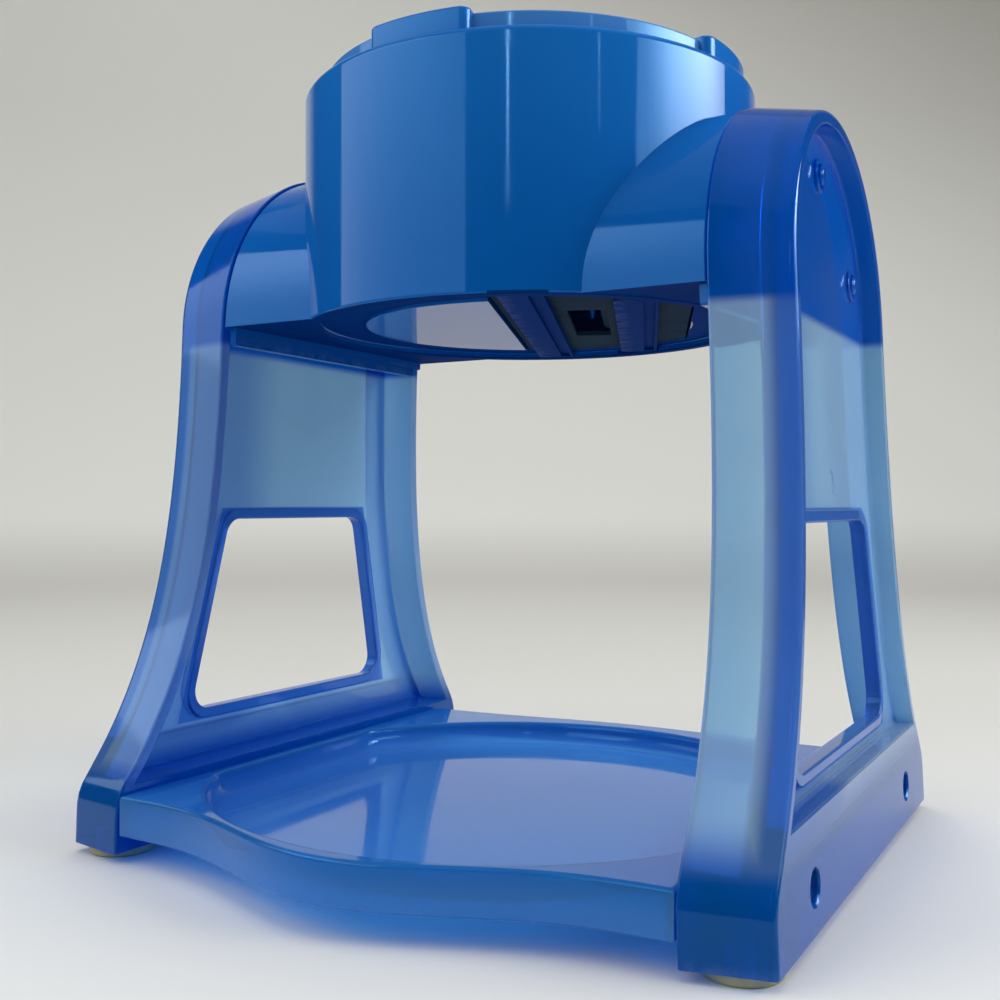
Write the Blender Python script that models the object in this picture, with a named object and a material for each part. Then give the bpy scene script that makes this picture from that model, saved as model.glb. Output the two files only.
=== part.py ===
"""Hand cranked ice shaver, modelled piece by piece.

A round drum for ice hangs between two arched side frames that stand on a shallow tray.
The drum's lid carries the crank, its shaft and the spiked presser that turns the ice
over the blade in the drum's floor.

Lengths are in metres, +Z is up, the front is towards -Y and the origin lies on the
table under the middle of the whole outline. Everything is drawn about the drum's axis
and moved back at the end, because the tray's bowed front reaches past the frames.
"""
import math

import bmesh
import bpy
from mathutils import Matrix, Vector

MM = 0.001

# Fits and mesh fineness
FIT = 0.35 * MM
ROUND_STEPS = 48
KNOB_STEPS = 20
SMALL_STEPS = 16
TINY_STEPS = 10
BEYOND = 9 * MM

# Feet
FOOT_RADIUS = 12 * MM
FOOT_HEIGHT = 3.5 * MM
FOOT_STEM_RADIUS = 4 * MM
FOOT_STEM_HEIGHT = 6 * MM
FOOT_FROM_END = 16 * MM

# Drum
DRUM_RADIUS = 90 * MM
DRUM_HEIGHT = 90 * MM
DRUM_WALL = 3.5 * MM
DRUM_EDGE = 1 * MM
SHOULDER_ROUND = 2.5 * MM
LIP_WIDTH = 6 * MM
FLOOR_RECESS = 3 * MM
FLOOR_THICKNESS = 3 * MM
FLOOR_STEP_RADIUS = DRUM_RADIUS - 24 * MM
FLOOR_STEP = 1.2 * MM
COLLAR_RADIUS = DRUM_RADIUS - 8 * MM
COLLAR_WALL = 3.7 * MM
COLLAR_HEIGHT = 7.5 * MM
COLLAR_EDGE = 0.6 * MM
LEDGE_WIDTH = 4.5 * MM
LEDGE_BELOW_COLLAR_TOP = 12 * MM
LEDGE_THICKNESS = 2.5 * MM
LEDGE_GUSSET = 6 * MM

# Side frames, across X at the height where the splay is nought
CHEEK_REACH = 12 * MM
FRAME_WIDTH = 27 * MM
FRAME_INSIDE_DEPTH = 16 * MM
FRAME_INNER = DRUM_RADIUS + CHEEK_REACH
FRAME_OUTER = FRAME_INNER + FRAME_WIDTH
WEB_INNER = FRAME_INNER + FRAME_INSIDE_DEPTH
WEB_THICKNESS = 3 * MM
SPLAY = 0.04
SPLAY_HEIGHT = 150 * MM

# Side frames, seen from the side
ARCH_RADIUS = 70.8 * MM
ARCH_HEIGHT = 203 * MM
BASE_HALF_DEPTH = 118 * MM
LEG_STRAIGHT_REACH = 93 * MM
LEG_FLARE_IN = 33.5 * MM
LEG_FLARE_UP = 38 * MM
LEG_END_HEIGHT = 25 * MM
LEG_CORNER = 8 * MM
FRAME_DRAFT = 4.5 * MM
FRAME_WALL = 5 * MM
BLOCK_TOP_ABOVE_TRAY = 3 * MM
BLOCK_TOP_OUTSIDE = 39 * MM
BLOCK_WALL = 3.5 * MM
BLOCK_END_SOLID = 34 * MM
BLOCK_CAVITY_HEIGHT = 19 * MM

# Windows in the side frames
WINDOW_TOP = 125 * MM
WINDOW_BOTTOM = 47 * MM
WINDOW_TOP_HALF = ARCH_RADIUS - 24.3 * MM
WINDOW_BOTTOM_HALF = BASE_HALF_DEPTH - 52 * MM
WINDOW_CORNER = 8 * MM
WINDOW_RIM = 4.5 * MM
WINDOW_RIM_PROUD = 1.6 * MM

# Screws
ARCH_SCREW_CIRCLE = ARCH_RADIUS - 24.8 * MM
ARCH_SCREW_ANGLES = {"front": 163, "top": 90, "back": 17}
ARCH_SCREW_HEAD_RADIUS = 3.6 * MM
ARCH_SCREW_HEAD_HEIGHT = 2.2 * MM
ARCH_SCREW_SHANK_RADIUS = 1.7 * MM
ARCH_SCREW_SHANK_LENGTH = 11 * MM
BASE_SCREW_HALF_SPACING = BASE_HALF_DEPTH - 45.5 * MM
BASE_SCREW_BELOW_TRAY_TOP = 7.5 * MM
BASE_SCREW_RECESS_DEPTH = 6 * MM
BASE_SCREW_HEAD_RADIUS = 4.2 * MM
BASE_SCREW_HEAD_HEIGHT = 3 * MM
BASE_SCREW_RECESS_RADIUS = BASE_SCREW_HEAD_RADIUS + 1.2 * MM
BASE_SCREW_SHANK_RADIUS = 2 * MM
BASE_SCREW_SHANK_LENGTH = 26.4 * MM
SCREW_SLOT = 0.9 * MM

# Tray
TRAY_TOP = 25 * MM
TRAY_BOTTOM = 10 * MM
TRAY_SKIN = 3 * MM
TRAY_WALL = 3 * MM
TRAY_FRONT_REACH = BASE_HALF_DEPTH - 1 * MM
TRAY_FRONT_BOW = 24 * MM
TRAY_BACK_REACH = BASE_HALF_DEPTH - 20 * MM
TRAY_BACK_BOW = 7 * MM
TRAY_BOW_POWER = 1.5
TRAY_STEPS = 28
DISH_FRONT_MARGIN = 8 * MM
DISH_BACK_MARGIN = 12 * MM
DISH_FRONT = TRAY_FRONT_REACH + TRAY_FRONT_BOW - DISH_FRONT_MARGIN
DISH_BACK = TRAY_BACK_REACH + TRAY_BACK_BOW - DISH_BACK_MARGIN
DISH_RADIUS = (DISH_FRONT + DISH_BACK) / 2
DISH_FORWARD = DISH_FRONT - DISH_RADIUS
DISH_DEPTH = 9 * MM
DISH_SLOPE = 6 * MM
DISH_SIDE_MARGIN = 6 * MM
DISH_SIDE_SLOPE = 3 * MM
TRAY_BOSS_RADIUS = 5.3 * MM
TRAY_BOSS_LENGTH = 6 * MM
TRAY_BORE_END = 1.2 * MM

# Screws and blocks that line up with the tray
BLOCK_TOP_INSIDE = TRAY_TOP + BLOCK_TOP_ABOVE_TRAY
BASE_SCREW_HEIGHT = TRAY_TOP - BASE_SCREW_BELOW_TRAY_TOP

# The drum's levels, which go up from the arches that hold it
DRUM_BELOW_ARCH_CENTRE = 2 * MM
DRUM_BOTTOM = ARCH_HEIGHT - DRUM_BELOW_ARCH_CENTRE
DRUM_SHOULDER = DRUM_BOTTOM + DRUM_HEIGHT
FLOOR_UNDERSIDE = DRUM_BOTTOM + FLOOR_RECESS
COLLAR_TOP = DRUM_SHOULDER + COLLAR_HEIGHT
LEDGE_HEIGHT = COLLAR_TOP - LEDGE_BELOW_COLLAR_TOP

# Bayonet lock of the lid
LOCK_COUNT = 4
LOCK_HALF_ANGLE = 14
LOCK_RADIUS = COLLAR_RADIUS + 4 * MM
LOCK_TOP = COLLAR_TOP + 1.5 * MM
LUG_HALF_ANGLE = 6
LUG_REACH = 2 * MM
LUG_BOTTOM = LEDGE_HEIGHT + 5 * MM
LUG_THICKNESS = 3 * MM
LOCK_TURN = 30

# Cheeks, the half round arms of the drum that the frames hold
CHEEK_STEP_IN = 0.8 * MM
CHEEK_LIFT = 0.4 * MM
CHEEK_WALL = 3 * MM
CHEEK_PLATE = 3 * MM
RAIL_DEPTH = 7 * MM
RAIL_WIDTH = 3 * MM
RAIL_HALF_LENGTH = ARCH_RADIUS - 3.8 * MM
RAIL_STEP = 6 * MM
BOSS_RADIUS = 4.5 * MM

# Ice outlet in the floor, the bars under it, the plate and the blade
OUTLET_ANGLE = 22
OUTLET_RADIUS = DRUM_RADIUS - 10 * MM
OUTLET_LEFT = -8 * MM
OUTLET_RIGHT = OUTLET_RADIUS - 15 * MM
BAR_WIDTH = 16 * MM
BAR_RISE = 0.6 * MM
FIRST_BAR_LEFT = -3 * MM
PLATE_THICKNESS = 2 * MM
SLOT_LEFT = FIRST_BAR_LEFT + BAR_WIDTH + 4.5 * MM
SLOT_WIDTH = 15 * MM
SLOT_HALF_LENGTH = 33 * MM
BLADE_WIDTH = 14 * MM
BLADE_OVERHANG = 3 * MM
BLADE_HALF_LENGTH = SLOT_HALF_LENGTH - 2 * MM
BLADE_THICKNESS = 1.2 * MM
BLADE_GRIND = 2.5 * MM
BLADE_EDGE = 0.1 * MM
BLADE_SCREW_HALF_SPACING = BLADE_HALF_LENGTH - 10 * MM
BLADE_SCREW_HEAD_RADIUS = 3 * MM
BLADE_SCREW_HEAD_HEIGHT = 1.6 * MM
BLADE_SCREW_SHANK_RADIUS = 1.4 * MM
BLADE_SCREW_SHANK_LENGTH = 5.4 * MM
BLADE_SCREW_FROM_EDGE = 10.5 * MM
BLADE_SCREW_BORE_FLOOR = 0.9 * MM
BLADE_SCREW_BAR_MARGIN = 4 * MM
BLADE_LEFT = SLOT_LEFT + SLOT_WIDTH - BLADE_OVERHANG
BLADE_SCREW_ACROSS = BLADE_LEFT + BLADE_SCREW_FROM_EDGE
BAR_LEFT_EDGES = (FIRST_BAR_LEFT, BLADE_SCREW_ACROSS - BLADE_SCREW_BAR_MARGIN)
BAR_BOTTOM = DRUM_BOTTOM + BAR_RISE
BLADE_BOTTOM = FLOOR_UNDERSIDE + FIT + PLATE_THICKNESS + FIT
BLADE_SCREW_SEAT = BLADE_BOTTOM + BLADE_THICKNESS + FIT

# Lid
LID_RADIUS = COLLAR_RADIUS - COLLAR_WALL - 2 * FIT
LID_THICKNESS = 3 * MM
LID_RIM_WIDTH = 3 * MM
LID_RIM_SLOPE = 2 * MM
LID_RIM_TOP = COLLAR_TOP - 1.5 * MM
LID_RIB_FROM_EDGE = 11.6 * MM
LID_RIB_COUNT = 6
LID_RIB_WIDTH = 2.5 * MM
LID_RIB_HEIGHT = 4 * MM

# Crank train
SHAFT_RADIUS = 5 * MM
SHAFT_BOTTOM = FLOOR_UNDERSIDE + 0.5 * MM
SHAFT_STOP_RADIUS = SHAFT_RADIUS + 4 * MM
SHAFT_STOP_THICKNESS = 3 * MM
PIVOT_RADIUS = SHAFT_RADIUS - 2 * MM
BUSH_WALL = 2 * MM
BUSH_FLANGE_RADIUS = SHAFT_RADIUS + 6 * MM
BUSH_FLANGE = 1.5 * MM
LID_BOSS_RADIUS = SHAFT_RADIUS + 8 * MM
LID_BOSS_TOP = LID_RIM_TOP + 6 * MM
WASHER_THICKNESS = 1 * MM
WASHER_RADIUS = SHAFT_RADIUS + 5 * MM
CRANK_HUB_RADIUS = SHAFT_RADIUS + 7 * MM
CRANK_HUB_HEIGHT = 10 * MM
CRANK_LENGTH = 68 * MM
CRANK_ARM_THICKNESS = 5.5 * MM
CRANK_EYE_RADIUS = 9 * MM
CRANK_ANGLE = 119
CRANK_SHAFT_FLAT = SHAFT_RADIUS - 1.4 * MM
CAP_SCREW_HEAD_RADIUS = SHAFT_RADIUS + 2.2 * MM
CAP_SCREW_HEAD_HEIGHT = 2.4 * MM
CAP_SCREW_SHANK_RADIUS = 1.8 * MM
CAP_SCREW_LENGTH = 12 * MM
KNOB_HEIGHT = 34 * MM
KNOB_RADIUS = 11.5 * MM
KNOB_WAIST = KNOB_RADIUS - 3 * MM
PIN_RADIUS = 3 * MM
PIN_HEAD_RADIUS = PIN_RADIUS + 2 * MM
PIN_HEAD_HEIGHT = 2 * MM
CLIP_THICKNESS = 1.2 * MM
CLIP_RADIUS = SHAFT_RADIUS + 4.5 * MM

# Presser and its spring
PRESSER_INSIDE_LEDGE = 5.8 * MM
PRESSER_RADIUS = COLLAR_RADIUS - COLLAR_WALL - LEDGE_WIDTH - PRESSER_INSIDE_LEDGE
PRESSER_THICKNESS = 4 * MM
SPIKE_RINGS = ((PRESSER_RADIUS - 10 * MM, 10, 0), (PRESSER_RADIUS - 30 * MM, 6, 12))
SPIKE_RADIUS = 3 * MM
SPIKE_LENGTH = 8 * MM
SPIKE_CLEARANCE = 1.15 * MM
SPIKE_TIP = BLADE_SCREW_SEAT + BLADE_SCREW_HEAD_HEIGHT + SPIKE_CLEARANCE
PRESSER_BOTTOM = SPIKE_TIP + SPIKE_LENGTH
PRESSER_HUB_RADIUS = SHAFT_RADIUS + 7 * MM
PRESSER_HUB_TOP = PRESSER_BOTTOM + 16 * MM
SPRING_TURNS = 6
SPRING_RADIUS = SHAFT_RADIUS + 4 * MM
SPRING_WIRE = 1 * MM
SPRING_STEPS = 10

# The shaft's stop carries the presser when there is no ice under it
SHAFT_STOP_TOP = PRESSER_BOTTOM - FIT

# The crank's levels, one on top of the other
CLIP_BOTTOM = LEDGE_HEIGHT - FIT - CLIP_THICKNESS
WASHER_BOTTOM = LID_BOSS_TOP + FIT + BUSH_FLANGE + FIT
HUB_BOTTOM = WASHER_BOTTOM + WASHER_THICKNESS + FIT
CRANK_TOP = HUB_BOTTOM + CRANK_HUB_HEIGHT

# The drum's axis lies this far behind the middle of the outline
AXIS_BACK = (TRAY_FRONT_REACH + TRAY_FRONT_BOW - BASE_HALF_DEPTH) / 2

COLOURS = {
    "blue": ((0.02, 0.16, 0.52, 1.0), 0.18, 0.0),
    "clear_blue": ((0.10, 0.33, 0.62, 1.0), 0.18, 0.0),
    "rubber": ((0.52, 0.47, 0.34, 1.0), 0.65, 0.0),
    "steel": ((0.60, 0.61, 0.62, 1.0), 0.30, 1.0),
    "nylon": ((0.80, 0.80, 0.76, 1.0), 0.50, 0.0),
}


def clear_scene():
    for old in list(bpy.data.objects):
        bpy.data.objects.remove(old, do_unlink=True)


def material(name):
    """Return the named material, made once from its colour, roughness and metallic value."""
    found = bpy.data.materials.get(name)
    if found:
        return found
    colour, roughness, metallic = COLOURS[name]
    made = bpy.data.materials.new(name)
    made.use_nodes = True
    shader = made.node_tree.nodes["Principled BSDF"]
    shader.inputs["Base Color"].default_value = colour
    shader.inputs["Roughness"].default_value = roughness
    shader.inputs["Metallic"].default_value = metallic
    made.diffuse_color = colour
    return made


def new_object(name, mesh, finish=None):
    piece = bpy.data.objects.new(name, mesh)
    bpy.context.scene.collection.objects.link(piece)
    if finish:
        mesh.materials.append(material(finish))
    return piece


def mesh_from(work, name):
    """Turn a bmesh into a mesh with its faces pointing out and its edges marked sharp by angle."""
    bmesh.ops.remove_doubles(work, verts=work.verts, dist=0.000001)
    bmesh.ops.recalc_face_normals(work, faces=work.faces)
    mesh = bpy.data.meshes.new(name)
    work.to_mesh(mesh)
    work.free()
    mesh.shade_smooth()
    mesh.set_sharp_from_angle(angle=math.radians(35))
    return mesh


def loft(loops):
    """A closed skin through loops of points that all have the same length."""
    work = bmesh.new()
    rings = [[work.verts.new(point) for point in loop] for loop in loops]
    count = len(rings[0])
    for low, high in zip(rings, rings[1:]):
        for index in range(count):
            after = (index + 1) % count
            work.faces.new((low[index], low[after], high[after], high[index]))
    work.faces.new(reversed(rings[0]))
    work.faces.new(rings[-1])
    return work


def prism_x(outline, start, end):
    """A prism along X over an outline of (y, z) points."""
    return loft([[(x, y, z) for y, z in outline] for x in (start, end)])


def prism_z(outline, bottom, top):
    """A prism along Z over an outline of (x, y) points."""
    return loft([[(x, y, z) for x, y in outline] for z in (bottom, top)])


def turned(profile, steps=ROUND_STEPS, centre=(0, 0)):
    """A closed solid turned about Z from a closed profile of (radius, z) points.

    Points on the axis become a single vertex, so that the skin stays closed.
    """
    work = bmesh.new()
    rings = []
    for radius, z in profile:
        if radius < 0.000001:
            rings.append([work.verts.new((centre[0], centre[1], z))])
            continue
        ring = []
        for index in range(steps):
            angle = math.tau * index / steps
            x = centre[0] + radius * math.cos(angle)
            y = centre[1] + radius * math.sin(angle)
            ring.append(work.verts.new((x, y, z)))
        rings.append(ring)
    pairs = list(zip(rings, rings[1:] + rings[:1]))
    for low, high in pairs:
        for index in range(steps):
            after = (index + 1) % steps
            if len(low) == 1 and len(high) == 1:
                break
            if len(low) == 1:
                work.faces.new((low[0], high[after], high[index]))
            elif len(high) == 1:
                work.faces.new((low[index], low[after], high[0]))
            else:
                work.faces.new((low[index], low[after], high[after], high[index]))
    return work


def disc_profile(radius, bottom, top):
    return [(0, bottom), (radius, bottom), (radius, top), (0, top)]


def ring_profile(inner, outer, bottom, top):
    return [(inner, bottom), (outer, bottom), (outer, top), (inner, top)]


def sector(inner, outer, bottom, top, centre_angle, low_angle, high_angle, step=4):
    """A block bent round Z, between two radii, two heights and two angles about centre_angle."""
    count = max(2, math.ceil((high_angle - low_angle) / step))
    angles = [centre_angle + low_angle + (high_angle - low_angle) * index / count
              for index in range(count + 1)]
    outline = [(outer * math.cos(math.radians(a)), outer * math.sin(math.radians(a)))
               for a in angles]
    outline += [(inner * math.cos(math.radians(a)), inner * math.sin(math.radians(a)))
                for a in reversed(angles)]
    return prism_z(outline, bottom, top)


def rounded(corners, radius, steps=4):
    """An outline with each corner of a polygon replaced by an arc."""
    points = []
    count = len(corners)
    for index in range(count):
        corner = Vector(corners[index])
        before = (Vector(corners[index - 1]) - corner).normalized()
        after = (Vector(corners[(index + 1) % count]) - corner).normalized()
        half = before.angle(after) / 2
        reach = radius / math.tan(half)
        centre = corner + (before + after).normalized() * radius / math.sin(half)
        first = corner + before * reach - centre
        last = corner + after * reach - centre
        sweep = first.angle_signed(last)
        for step in range(steps + 1):
            spoke = first.copy()
            spoke.rotate(Matrix.Rotation(-sweep * step / steps, 2))
            points.append(tuple(centre + spoke))
    return points


def bar(centre_line, half_width, end_a, end_b):
    """The four corners of a bar along the outlet's direction."""
    left = centre_line - half_width
    right = centre_line + half_width
    return [outlet_point(left, end_a), outlet_point(right, end_a), outlet_point(right, end_b),
            outlet_point(left, end_b)]


def outlet_point(across, along):
    """A plan point given across and along the ice outlet, which is turned about the axis."""
    turn = math.radians(OUTLET_ANGLE)
    return (across * math.cos(turn) - along * math.sin(turn),
            across * math.sin(turn) + along * math.cos(turn))


def cut(piece, work, name, operation="DIFFERENCE"):
    """Cut a bmesh out of a piece, or join it on, with a Boolean that stays on the piece."""
    tool = new_object(name, mesh_from(work, name))
    tool.hide_render = True
    tool.display_type = "WIRE"
    change = piece.modifiers.new(name, "BOOLEAN")
    change.object = tool
    change.operation = operation
    return tool


def join(piece, work, name):
    return cut(piece, work, name, "UNION")


def splayed(work, side):
    """Lean a frame's points outwards towards the floor, on the side given as 1 or -1."""
    for vert in work.verts:
        vert.co.x = side * splay_x(vert.co.x, vert.co.z)
    return work


def splay_x(x, z):
    return x + SPLAY * (SPLAY_HEIGHT - z)


def leg_curve(steps=12, corner_steps=3):
    """One leg's edge from the arch's end down to the block's side, as (depth, height) points."""
    start = Vector((ARCH_RADIUS, ARCH_HEIGHT))
    end = Vector((BASE_HALF_DEPTH, LEG_END_HEIGHT))
    first = start - Vector((0, LEG_STRAIGHT_REACH))
    second = end + Vector((-LEG_FLARE_IN, LEG_FLARE_UP))
    points = []
    for index in range(1, steps + 1):
        t = index / steps
        points.append((1 - t) ** 3 * start + 3 * (1 - t) ** 2 * t * first
                      + 3 * (1 - t) * t ** 2 * second + t ** 3 * end)
    points = [point for point in points if (point - end).length > LEG_CORNER]
    above = end + (second - end).normalized() * LEG_CORNER
    below = end - Vector((0, LEG_CORNER))
    for index in range(corner_steps + 1):
        t = index / corner_steps
        points.append((1 - t) ** 2 * above + 2 * (1 - t) * t * end + t ** 2 * below)
    return points


def frame_outline(inset, bottom):
    """The frame's outline seen along X, set in by a distance and cut off at a height."""
    half = [Vector((ARCH_RADIUS * math.cos(math.pi / 2 * (1 - index / 10)),
                    ARCH_HEIGHT + ARCH_RADIUS * math.sin(math.pi / 2 * (1 - index / 10))))
            for index in range(11)]
    half += leg_curve()
    inner = []
    for index, point in enumerate(half):
        ahead = half[min(index + 1, len(half) - 1)]
        behind = half[max(index - 1, 0)]
        along = (ahead - behind).normalized()
        if index == 0:
            along = Vector((1, 0))
        normal = Vector((-along.y, along.x))
        inner.append(point - normal * inset)
    kept = [point for point in inner if point.y > bottom + 0.05 * MM]
    if len(kept) < len(inner):
        above = kept[-1]
        below = inner[len(kept)]
        kept.append(above.lerp(below, (above.y - bottom) / (above.y - below.y)))
    else:
        kept.append(Vector((BASE_HALF_DEPTH - inset, bottom)))
    mirrored = [(-point.x, point.y) for point in reversed(kept[1:])]
    return mirrored + [(point.x, point.y) for point in kept]


def window_outline(grow=0):
    slope = (WINDOW_BOTTOM_HALF - WINDOW_TOP_HALF) / (WINDOW_TOP - WINDOW_BOTTOM)
    top = WINDOW_TOP + grow
    bottom = WINDOW_BOTTOM - grow
    top_half = WINDOW_TOP_HALF + grow * (1 - slope)
    bottom_half = WINDOW_BOTTOM_HALF + grow * (1 + slope)
    corners = [(-bottom_half, bottom), (bottom_half, bottom), (top_half, top), (-top_half, top)]
    return rounded(corners, WINDOW_CORNER + grow)


def arch_screw_places():
    places = {}
    for name, degrees in ARCH_SCREW_ANGLES.items():
        angle = math.radians(degrees)
        places[name] = (ARCH_SCREW_CIRCLE * math.cos(angle),
                        ARCH_HEIGHT + ARCH_SCREW_CIRCLE * math.sin(angle))
    return places


def rod_x(y, z, radius, start, end, steps=SMALL_STEPS):
    outline = [(y + radius * math.cos(math.tau * i / steps), z + radius * math.sin(math.tau * i / steps))
               for i in range(steps)]
    return prism_x(outline, start, end)


def side_frame(side, name):
    """One moulded frame: arched flange, thin web with a window, and the foot block."""
    wide = frame_outline(0, FOOT_HEIGHT)
    narrow = frame_outline(FRAME_DRAFT, FOOT_HEIGHT)
    body = loft([[(FRAME_INNER, y, z) for y, z in wide], [(FRAME_OUTER, y, z) for y, z in narrow]])
    piece = new_object(name, mesh_from(splayed(body, side), name), "clear_blue")
    web_outer = WEB_INNER + WEB_THICKNESS

    inside = prism_x(frame_outline(FRAME_WALL, BLOCK_TOP_INSIDE), FRAME_INNER - BEYOND, WEB_INNER)
    cut(piece, splayed(inside, side), name + "_inside_pocket")
    outside = prism_x(frame_outline(FRAME_WALL + FRAME_DRAFT, BLOCK_TOP_OUTSIDE), web_outer,
                      FRAME_OUTER + BEYOND)
    cut(piece, splayed(outside, side), name + "_outside_pocket")
    rim = prism_x(window_outline(WINDOW_RIM), WEB_INNER - WINDOW_RIM_PROUD, web_outer + WINDOW_RIM_PROUD)
    join(piece, splayed(rim, side), name + "_window_rim")
    window = prism_x(window_outline(), FRAME_INNER, FRAME_OUTER)
    cut(piece, splayed(window, side), name + "_window")

    cavity_end = BASE_HALF_DEPTH - BLOCK_END_SOLID
    cavity_top = BLOCK_CAVITY_HEIGHT + FOOT_HEIGHT
    cavity = prism_x([(-cavity_end, -MM), (cavity_end, -MM), (cavity_end, cavity_top),
                      (-cavity_end, cavity_top)],
                     FRAME_INNER + BLOCK_WALL, FRAME_OUTER - BLOCK_WALL - BASE_SCREW_RECESS_DEPTH)
    cut(piece, splayed(cavity, side), name + "_block_cavity")
    for end in (-1, 1):
        x, y = foot_place(side, end)
        socket = turned(disc_profile(FOOT_STEM_RADIUS + FIT, -MM, FOOT_HEIGHT + FOOT_STEM_HEIGHT + FIT),
                        SMALL_STEPS, (x, y))
        cut(piece, socket, f"{name}_foot_socket_{end}")
        y = end * BASE_SCREW_HALF_SPACING
        face = splay_x(FRAME_OUTER, BASE_SCREW_HEIGHT)
        recess = rod_x(y, BASE_SCREW_HEIGHT, BASE_SCREW_RECESS_RADIUS,
                       side * (face - BASE_SCREW_RECESS_DEPTH), side * (face + BEYOND))
        cut(piece, recess, f"{name}_base_recess_{end}")
        bore = rod_x(y, BASE_SCREW_HEIGHT, BASE_SCREW_SHANK_RADIUS + FIT, side * (FRAME_INNER - BEYOND),
                     side * face, TINY_STEPS)
        cut(piece, bore, f"{name}_base_bore_{end}")
    for place, (y, z) in arch_screw_places().items():
        x = splay_x(WEB_INNER, z)
        bore = rod_x(y, z, ARCH_SCREW_SHANK_RADIUS + FIT, side * (x - BEYOND), side * (x + BEYOND),
                     TINY_STEPS)
        cut(piece, bore, f"{name}_arch_bore_{place}")
    return piece


def foot_place(side, end):
    middle = (FRAME_INNER + FRAME_OUTER) / 2
    return side * splay_x(middle, FOOT_HEIGHT), end * (BASE_HALF_DEPTH - FOOT_FROM_END)


def foot(side, end, name):
    """A round foot with a stem that pushes into the block."""
    edge = 0.6 * MM
    profile = [(0, 0), (FOOT_RADIUS - edge, 0), (FOOT_RADIUS, edge), (FOOT_RADIUS, FOOT_HEIGHT - FIT),
               (FOOT_STEM_RADIUS, FOOT_HEIGHT - FIT), (FOOT_STEM_RADIUS, FOOT_HEIGHT + FOOT_STEM_HEIGHT),
               (0, FOOT_HEIGHT + FOOT_STEM_HEIGHT)]
    return new_object(name, mesh_from(turned(profile, KNOB_STEPS, foot_place(side, end)), name), "rubber")


def screw(name, head_radius, head_height, shank_radius, shank_length, place, direction):
    """A slotted screw whose head sits at a place and faces a direction."""
    profile = [(0, -shank_length), (shank_radius, -shank_length + 0.7 * shank_radius),
               (shank_radius, 0), (head_radius, 0), (head_radius, head_height * 0.55),
               (head_radius * 0.72, head_height), (0, head_height)]
    piece = new_object(name, mesh_from(turned(profile, TINY_STEPS), name), "steel")
    turn = Vector((0, 0, 1)).rotation_difference(Vector(direction)).to_matrix().to_4x4()
    piece.matrix_world = Matrix.Translation(place) @ turn
    slot = bmesh.new()
    bmesh.ops.create_cube(slot, size=1)
    size = Matrix.Diagonal((head_radius * 2.5, SCREW_SLOT, head_height, 1))
    slot.transform(piece.matrix_world @ Matrix.Translation((0, 0, head_height * 1.15)) @ size)
    cut(piece, slot, f"{name}_slot")
    return piece


def frame_screws(side, label):
    for place, (y, z) in arch_screw_places().items():
        seat = splay_x(WEB_INNER + WEB_THICKNESS, z) + FIT + SPLAY * ARCH_SCREW_HEAD_RADIUS
        screw(f"arch_screw_{label}_{place}", ARCH_SCREW_HEAD_RADIUS, ARCH_SCREW_HEAD_HEIGHT,
              ARCH_SCREW_SHANK_RADIUS, ARCH_SCREW_SHANK_LENGTH, (side * seat, y, z), (side, 0, 0))
    for end, word in ((-1, "front"), (1, "back")):
        seat = splay_x(FRAME_OUTER, BASE_SCREW_HEIGHT) - BASE_SCREW_RECESS_DEPTH + FIT
        screw(f"base_screw_{label}_{word}", BASE_SCREW_HEAD_RADIUS, BASE_SCREW_HEAD_HEIGHT,
              BASE_SCREW_SHANK_RADIUS, BASE_SCREW_SHANK_LENGTH,
              (side * seat, end * BASE_SCREW_HALF_SPACING, BASE_SCREW_HEIGHT), (side, 0, 0))


def tray_half_width(z):
    return splay_x(FRAME_INNER, z) - FIT


def tray_outline(inset):
    """The tray's plan outline, bowed at the front and the back, set in by a distance."""
    half = tray_half_width(TRAY_TOP) - inset
    span = tray_half_width(TRAY_TOP)
    points = []
    front = (-TRAY_FRONT_REACH, -TRAY_FRONT_BOW, 1)
    back = (TRAY_BACK_REACH, TRAY_BACK_BOW, -1)
    for reach, bow, way in (front, back):
        for index in range(TRAY_STEPS + 1):
            x = way * half * (2 * index / TRAY_STEPS - 1)
            y = reach + bow * (0.5 + 0.5 * math.cos(math.pi * x / span)) ** TRAY_BOW_POWER
            points.append((x, y - math.copysign(inset, reach)))
    return points


def dish_loop(inward, grow, z):
    """One level of the dish: a circle cut off at the sides, stepped inward and grown by distances."""
    radius = DISH_RADIUS - inward * DISH_SLOPE + grow
    half = tray_half_width(TRAY_TOP) - DISH_SIDE_MARGIN - inward * DISH_SIDE_SLOPE + grow
    loop = []
    for index in range(ROUND_STEPS):
        angle = math.tau * (index + 0.5) / ROUND_STEPS
        reach = min(radius, half / abs(math.cos(angle)))
        loop.append((reach * math.cos(angle), reach * math.sin(angle) - DISH_FORWARD, z))
    return loop


def dish_solid(grow):
    floor = TRAY_TOP - DISH_DEPTH - grow
    return loft([dish_loop(1, grow, floor), dish_loop(0.25, grow, floor + DISH_DEPTH * 0.45),
                 dish_loop(0, grow, TRAY_TOP), dish_loop(0, grow, TRAY_TOP + BEYOND)])


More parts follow.
